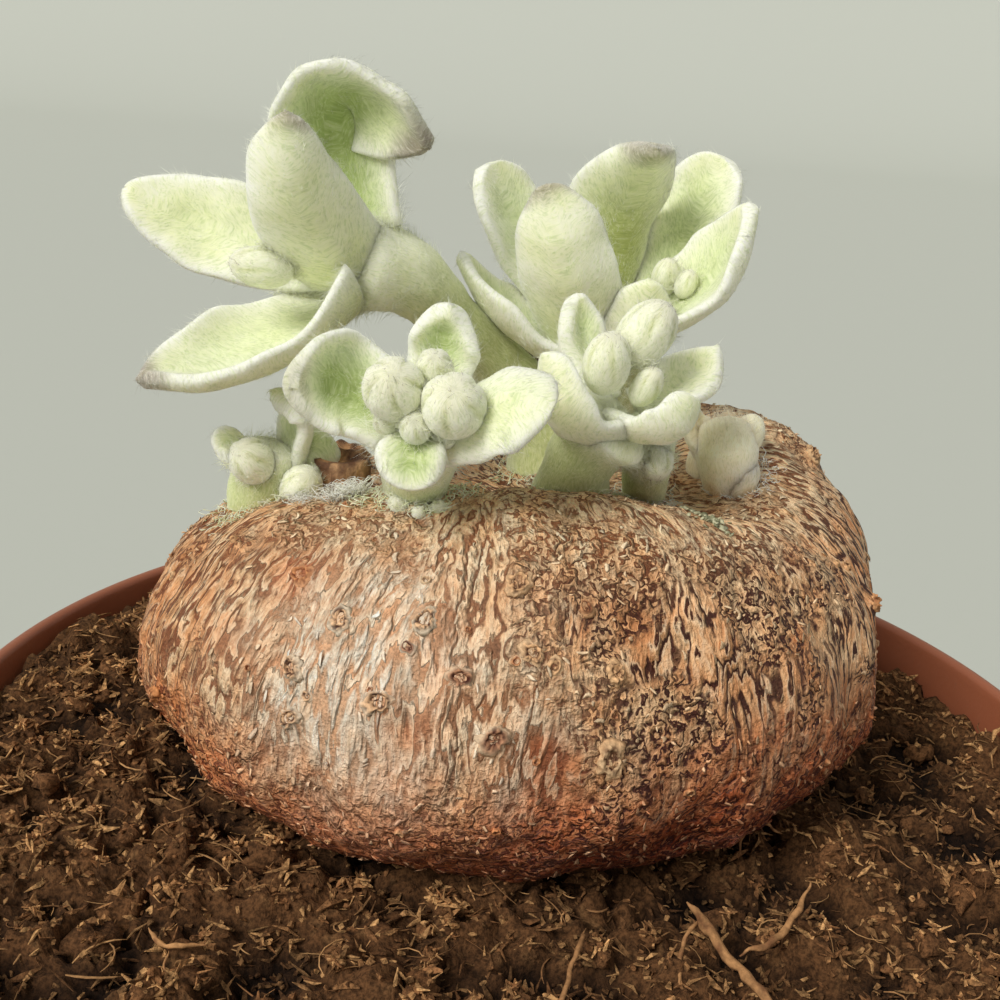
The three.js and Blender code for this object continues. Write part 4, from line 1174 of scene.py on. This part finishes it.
def leaf_part(salt, root, tip, bow, face, wide, cup, peak, base, blunt,
              edge=False, twist=0, dusk=0.0, green=0.5, back=0.0, fold=0.3):
    """A thick velvety blade as a closed tube of flattened rings, with facts for each point.

    One that curls in its own plane has edge. twist turns its root by some degrees. dusk is how
    purple its tip is, green how green its hollow, back how green its outer side, fold how deep
    its midrib.
    """
    root, tip, bow, face = (np.array(v, float) for v in (root, tip, bow, face))
    middle = (root + tip) / 2 + 2 * bow
    u = np.sin(np.linspace(0, 1, LEAF_STEPS)[:, None] * np.pi / 2) ** 1.15
    at = (1 - u) ** 2 * root + 2 * u * (1 - u) * middle + u ** 2 * tip
    along = unit((1 - u) * (middle - root) + u * (tip - middle))
    if edge:
        side = unit(np.cross(along, face))
    else:
        flat = unit(np.cross(tip - root, face))
        side = unit(flat - along * (along @ flat)[:, None])
    up = np.cross(side, along)
    side, up = swung(side, up, np.radians(twist) * (1 - u) ** 2)

    vx, vz = (np.sign(v) * np.abs(v) ** power for v, power in zip(circle(LEAF_SIDES), (0.85, 0.62)))
    aside = np.abs(vx)
    grown = base + (1 - base) * np.sin(np.clip(u / peak, 0, 1) * np.pi / 2)
    fall = np.clip((u - peak) / (1 - peak), 0, 1)
    width = np.maximum(grown * np.maximum(1 - fall ** 2.2, 0) ** blunt, 0.08) * wide / 2
    width = width * np.where(u > 0.995, 0.5, 1)
    half = LEAF_THICKNESS / 2 * np.minimum(1, width / 1.1)
    bend = math.radians(cup)
    turn = vx * bend
    x = width * (np.sin(turn) / bend)
    taper = smoothstep(0.97 - u, 0, 0.3)
    midrib = -fold * np.exp(-(x / 0.9) ** 2) * taper * np.sign(bend)
    wave = 0.30 * aside ** 4 * np.sin(11 * u + salt) * (u * (1 - u) * 4)
    vein = 0.07 * np.sin(26 * u - 5 * aside) * (1 - aside) * taper
    rise = width * ((1 - np.cos(turn)) / bend) + np.cos(turn) * vz * half + midrib + wave + vein
    shift = x - np.sin(turn) * vz * half
    points = at[:, None] + side[:, None] * shift[..., None] + up[:, None] * rise[..., None]
    points = points.reshape(-1, 3)
    free = (smoothstep(u, 0.1, 0.6) * (0.35 + 0.65 * aside)).reshape(-1, 1)
    points += 0.42 * free * wobble(points / 3.2 + 5 * salt, 87)

    facts = np.zeros((len(points) + 2, FACTS))
    facts[:, [KIND, GREEN, DUSK, BACK]] = LEAF, green, dusk, back
    facts[-2:, [ALONG, INNER, RIM]] = (0, 0.5, 1), (1, 0.5, 1)
    facts[-2:, GRAIN] = along[[0, -1]]
    grid = facts[:-2].reshape(LEAF_STEPS, LEAF_SIDES, FACTS)
    grid[..., [ALONG, INNER, RIM]] = layers(u, smoothstep(vz, -0.2, 0.5), aside ** 2.6)
    grid[..., GRAIN] = along[:, None] + side[:, None] * vx[:, None]
    run, off = u * np.linalg.norm(tip - root), np.abs(x)
    grid[..., NAP] = layers(0.35 * (0.8 * run + 0.6 * off), 1.3 * (0.8 * off - 0.6 * run),
                            7.0 * salt)
    return (np.concatenate([points, at[:1], at[-1:]]), *tube_faces(LEAF_STEPS, LEAF_SIDES)), facts


def stem_part(points, radii):
    """A slightly lumpy stem as a closed tube, with facts for each point."""
    steps = 9 * len(points)
    path = smooth_line(points, steps)
    radius = np.interp(np.linspace(0, len(radii) - 1, steps), np.arange(len(radii)), radii)
    radius[-3:] *= (0.94, 0.75, 0.4)
    skin, *faces = tube(path, radius, STEM_SIDES)
    lumpy = 0.16 * fractal(skin / 2.4, 2, 77)
    skin[:-2] += unit(skin[:-2] - np.repeat(path, STEM_SIDES, 0)) * lumpy[:-2, None]
    facts = np.zeros((len(skin), FACTS))
    facts[-1, ALONG] = 1
    facts[-2:, GRAIN] = path[1] - path[0], path[-1] - path[-2]
    grid = facts[:-2].reshape(steps, STEM_SIDES, FACTS)
    grid[..., ALONG] = np.linspace(0, 1, steps)[:, None]
    grid[..., GRAIN] = unit(np.gradient(path, axis=0))[:, None]
    c, s = circle(STEM_SIDES)
    grid[..., NAP] = layers(np.arange(steps)[:, None] * 0.2, 5 * c, 5 * s)
    return (skin, *faces), facts


def bud_part(at, axis, radius, half, salt):
    """A woolly bud: the closed tips of its folded petals show as soft ribs."""
    shape, faces = round_solid(4)
    pole = Vector(axis).normalized()
    turn = np.array(Vector((0, 0, 1)).rotation_difference(pole).to_matrix())
    level = shape[:, 2]
    around = np.arctan2(shape[:, 1], shape[:, 0])
    high = smoothstep(level, -0.5, 0.6) * (1 - level ** 8)
    fold = (1 - np.abs(np.sin(2.5 * around + salt + 0.9 * level))) ** 3
    lobes = 1.03 + (0.04 * fractal(shape * 2.2 + 9 * salt, 2, 75) - 0.17 * fold) * high
    points = shape * layers(radius * lobes, radius * lobes, half)
    facts = np.zeros((len(points), FACTS))
    facts[:, KIND] = BUD
    facts[:, [ALONG, INNER, RIM]] = layers(level * 0.5 + 0.5, fold * high, 0.4)
    facts[:, GRAIN] = (np.array(pole) + 0.5 * (shape @ turn.T)
                       + 1.6 * wobble(points * 0.8 + 5 * salt, 79))
    facts[:, NAP] = layers(level * half * 0.5, 2.5 * np.cos(around),
                           2.5 * np.sin(around) + 9 * salt)
    return (points @ turn.T + at, NO_QUADS, faces), facts


def skin_colours(name, skin, facts):
    """White-green felt, greener in hollows and on some outer sides, partly as painted shade,
    greener low on stems, whiter at leaf rims, partly as a painted glow, and purple-brown at some
    leaf tips.
    """
    kind, u, inner, rim, green, dusk, back = facts[:, :7].T
    patch = fractal(skin / 2.6, 3, 71)
    if name == "dry_shoot":
        low = 0.6 * (108 - skin[:, 2]) / 6
        return mix(srgb(255, 242, 212), srgb(222, 192, 150), smoothstep(patch + low, 0, 1))
    if name == "dry_stalk":
        return mix(srgb(120, 60, 46), srgb(70, 36, 30), smoothstep(patch, -0.5, 0.6))
    leafy, budlike, stemlike = kind == LEAF, kind == BUD, kind == STEM
    hollow = leafy * inner * (1 - rim) * smoothstep(0.98 - u, 0, 0.3)
    outer = leafy * (1 - inner) * (1 - rim)
    colour = mix(srgb(240, 243, 202), srgb(250, 252, 222), smoothstep(patch, -0.6, 0.6))
    for share, tint in (
            # hollows and outer sides greener: partly the green skin under the wool, partly painted
            # shade
            (green * hollow, srgb(182, 200, 122)),
            (0.5 * outer * smoothstep(0.45 - u, 0, 0.4), srgb(226, 228, 170)),
            (outer * back * smoothstep(0.92 - u, 0, 0.5), srgb(184, 192, 112)),
            (0.85 * (stemlike * smoothstep(0.93 - u, 0, 0.3)), srgb(202, 210, 146)),
            # rims whiter: partly their denser white hair, partly a painted glow
            (0.8 * leafy * rim, srgb(255, 255, 240)),
            (budlike, mix(srgb(246, 247, 220), srgb(200, 206, 140), 0.8 * inner)),
            (0.5 * budlike * smoothstep(u + 0.15 * patch, 0.72, 1.0), srgb(232, 226, 204)),
            (0.85 * (leafy * dusk * smoothstep(u + 0.04 * patch, 0.86, 0.99)), srgb(120, 98, 92))):
        colour = mix(colour, tint, share)
    return colour


def shoot(name, stems, leaves, buds, skin_material, wool_material, slot):
    """One shoot: the skin of its stems, leaves and buds, and the wool on it."""
    made = [stem_part(*stem) for stem in stems]
    made += [leaf_part(k, *sizes, **traits) for k, (sizes, traits) in enumerate(leaves)]
    made += [bud_part(*bud, k) for k, bud in enumerate(buds)]
    points, quads, triangles = join_parts([part for part, _ in made])
    facts = np.concatenate([fact for _, fact in made])
    skin = make_mesh(name + "_skin", points, [quads, triangles])
    normals = np.empty(len(points) * 3)
    skin.data.vertex_normals.foreach_get("vector", normals)
    normals = normals.reshape(-1, 3)
    colours = skin_colours(name, points, facts)
    give(skin, "tint_colour", colours)
    give(skin, "nap", facts[:, NAP] + 0.5 * wobble(points / 1.2, 83))
    dress(skin, skin_material, slot, name)
    if name != "dry_stalk":
        faces = np.concatenate([quads, triangles[:, [0, 1, 2, 2]]])
        wool(name, points, faces, normals, facts, colours, wool_material, slot)
    if name in CREASE_HAIRS:
        owner = np.repeat(np.arange(len(made)), [len(part[0]) for part, _ in made])
        crease_wool(name, points, normals, owner, wool_material)


def wool(name, skin, faces, normals, facts, colours, material, slot):
    """The coat of fine hairs, each a slim three-sided needle, longer along the leaf margins."""
    rng = np.random.default_rng(sum(map(ord, name)))
    a, b, c, d = (skin[faces[:, k]] for k in range(4))
    area = 0.5 * np.linalg.norm(np.cross(c - a, d - b), axis=1)
    area = area * ((a + c)[:, 2] / 2 > WOOL_FROM)
    first = facts[faces[:, 0]]
    kinds, place = first[:, KIND], first[:, ALONG]
    joints = ((kinds == LEAF) * smoothstep(0.3 - place, 0, 0.2)
              + (kinds == STEM) * smoothstep(place, 0.7, 0.95))
    weight = area * (0.5 + 2.4 * first[:, RIM] + 1.5 * joints)
    count = int(WOOL_DENSITY * area.sum())
    corner = faces[rng.choice(len(faces), count, p=weight / weight.sum())]
    s, t = rng.random((2, count, 1))

    def across(values):
        low = values[corner[:, 0]] * (1 - s) + values[corner[:, 1]] * s
        high = values[corner[:, 3]] * (1 - s) + values[corner[:, 2]] * s
        return low * (1 - t) + high * t

    root, up, fact = across(skin), unit(across(normals)), across(facts)
    kind, u, rim = fact[:, KIND].round(), fact[:, ALONG], fact[:, RIM]
    grain = unit(fact[:, GRAIN])
    grain = unit(grain - up * (grain * up).sum(1, keepdims=True))
    leafy, budlike, stemlike = kind == LEAF, kind == BUD, kind == STEM
    loose = (leafy * smoothstep(0.25 - u, 0, 0.2)
             + stemlike * (smoothstep(u, 0.6, 0.9) + smoothstep(0.5 - u, 0, 0.2)))
    stand = (0.30 + 0.5 * rim * leafy + 0.25 * budlike + 0.45 * loose)[:, None]
    stand = stand * rng.uniform(0.3, 1.5, (count, 1))
    heading = unit(grain * 0.9 + up * stand + (0.22 + 0.3 * loose + 0.2 * budlike)[:, None]
                   * rng.normal(size=(count, 3)) + 0.5 * wobble(root / 1.3, 81))
    length = 0.38 + 0.14 * leafy + 0.75 * rim * leafy + 0.22 * budlike + 0.85 * loose
    length = length * rng.uniform(0.5, 1.5, count)
    width = rng.uniform(0.011, 0.021, count)
    white = srgb(238, 228, 204) if name == "dry_shoot" else srgb(246, 248, 234)
    colour = mix(across(colours), white, rng.uniform(0.4, 0.95, count))
    dark = budlike * smoothstep(u, 0.55, 0.95) * (rng.random(count) < 0.3)
    colour = mix(colour, srgb(128, 104, 94), 0.85 * dark)
    needles(name + "_wool", root - up * 0.04, heading, length, width, colour, material, slot)


def crease_wool(name, skin, normals, owner, material):
    """Cottony wool in the creases where leaves, stems and buds meet."""
    rng = np.random.default_rng(43)
    tree = KDTree(len(skin))
    for k, point in enumerate(skin):
        tree.insert(point, k)
    tree.balance()
    found = []
    for k, point in enumerate(skin):
        others = [j for _, j, _ in tree.find_range(point, CREASE_REACH) if owner[j] != owner[k]]
        if others:
            found.append((k, others[0]))
    count = CREASE_HAIRS[name]
    k, other = np.array(found)[rng.integers(len(found), size=count)].T
    up = unit(normals[k] + normals[other])
    root = mix(skin[k], skin[other], rng.random(count)) + up * rng.uniform(-0.1, 0.35, (count, 1))
    root += rng.normal(0, 0.2, (count, 3))
    heading = unit(0.5 * up + rng.normal(size=(count, 3)))
    length, width = rng.uniform(0.4, 1.5, count), rng.uniform(0.014, 0.026, count)
    colour = mix(srgb(236, 241, 198), srgb(255, 255, 238), rng.random(count))
    needles(name + "_creases", root, heading, length, width, colour, material, "woolly_leaf")


def needles(name, root, heading, length, width, colour, material, slot):
    """Slim three-sided hairs."""
    p = unit(np.cross(heading, heading[:, [1, 2, 0]] + (0, 0.01, 0)))
    q = np.cross(heading, p)
    foot = [root + width[:, None] * swung(p, q, turn)[0] for turn in THIRDS]
    points = np.stack([*foot, root + heading * length[:, None]], 1)
    faces = repeated([(0, 1, 3), (1, 2, 3), (2, 0, 3)], len(root), 4)
    tinted_piece(name, points.reshape(-1, 3), [faces], np.repeat(colour, 4, 0), material, slot)


def curled_strand(rng, root, up, length, lift, width):
    """A short curly strand of wool that starts at a root and winds about the direction up."""
    first = unit(np.cross(up, rng.normal(size=3)))
    second = np.cross(up, first)
    angle, bend = rng.uniform(0, 2 * np.pi), rng.uniform(0.5, 1.3) * rng.choice([-1, 1])
    path = [root - 0.1 * up]
    for k, rise in enumerate((0.6, 0.3, -0.1)):
        way = swung(first, second, angle + bend * k)[0] + up * rise * lift
        path.append(path[-1] + way * length / 3)
    return tube(path, width * np.array([1, 1, 0.8, 0.3]), 3)


def foot_wool(skin, out, material):
    """Curly wool on the bark round the shoots' feet, and a few lichen flakes."""
    rng = np.random.default_rng(41)
    parts, colours = [], []
    for x, y, inner, outer, count, length, lift, width, dull, light in TUFTS:
        reach = np.hypot(skin[:, 0] - x, skin[:, 1] - y)
        near = np.flatnonzero((reach >= inner) & (reach <= outer) & (skin[:, 2] > FOOT_WOOL_FROM))
        for k in rng.choice(near, count):
            at = skin[k] + rng.normal(0, 0.15, 3) * (1, 1, 0)
            parts.append(curled_strand(rng, at, out[k], length * rng.uniform(0.6, 1.4), lift,
                                       width * rng.uniform(0.7, 1.3)))
            colours.append(mix(dull, light, rng.random()) * rng.uniform(0.85, 1.05))
    shape, faces = round_solid(1)
    for spot in LICHEN:
        for _ in range(LICHEN_FLAKES):
            nearest = np.argmin(((skin - spot - rng.normal(0, 0.8, 3)) ** 2).sum(1))
            size = rng.uniform(0.12, 0.42, 3) * (1, 1, 0.3)
            turns = rng.uniform(-1, 1, (1, 3)) * (math.pi, 0.8, 0.8)
            flake = turned((shape * size)[None], turns)[0] + skin[nearest] + out[nearest] * 0.12
            parts.append((flake, NO_QUADS, faces))
            colours.append(mix(srgb(130, 130, 100), srgb(210, 206, 172), rng.random()))
    colours = [np.tile(colour, (len(part[0]), 1)) for colour, part in zip(colours, parts)]
    joined_piece("foot_wool", parts, colours, material, "woolly_leaf")


def main():
    make_camera()
    make_stage()
    make_lights()
    pot()
    soil_look = tinted_material("soil", 0.95, 2600, 0.6, 0.0003, 0.15)
    soil_bed(soil_look)
    soil_crumbs(soil_look)
    for kind in SHREDS:
        soil_shreds(*kind, soil_look)
    soil_fibres(tinted_material("fibre", 0.85, 1800, 0.3, 0.00008, 0.2))
    flake_look = tinted_material("flake", 0.78, 2600, 0.25, 0.00012, 0.3)
    skin, out = caudex(bark_material(), flake_look)
    stumps(flake_look)
    felt = felt_material()
    hair = tinted_material("hair", 0.8, 900, 0.04, 0.00001, 0.1)
    foot_wool(skin, out, hair)
    for name, form in SHOOTS.items():
        shoot(name, *form, felt, hair, SLOTS.get(name, "woolly_leaf"))


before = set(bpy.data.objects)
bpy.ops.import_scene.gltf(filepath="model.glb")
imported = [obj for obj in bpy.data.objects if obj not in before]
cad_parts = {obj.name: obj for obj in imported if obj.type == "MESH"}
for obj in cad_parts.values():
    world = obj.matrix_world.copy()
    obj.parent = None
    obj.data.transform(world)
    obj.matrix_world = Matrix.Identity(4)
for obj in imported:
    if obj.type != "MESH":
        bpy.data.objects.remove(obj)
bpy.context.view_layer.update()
main()
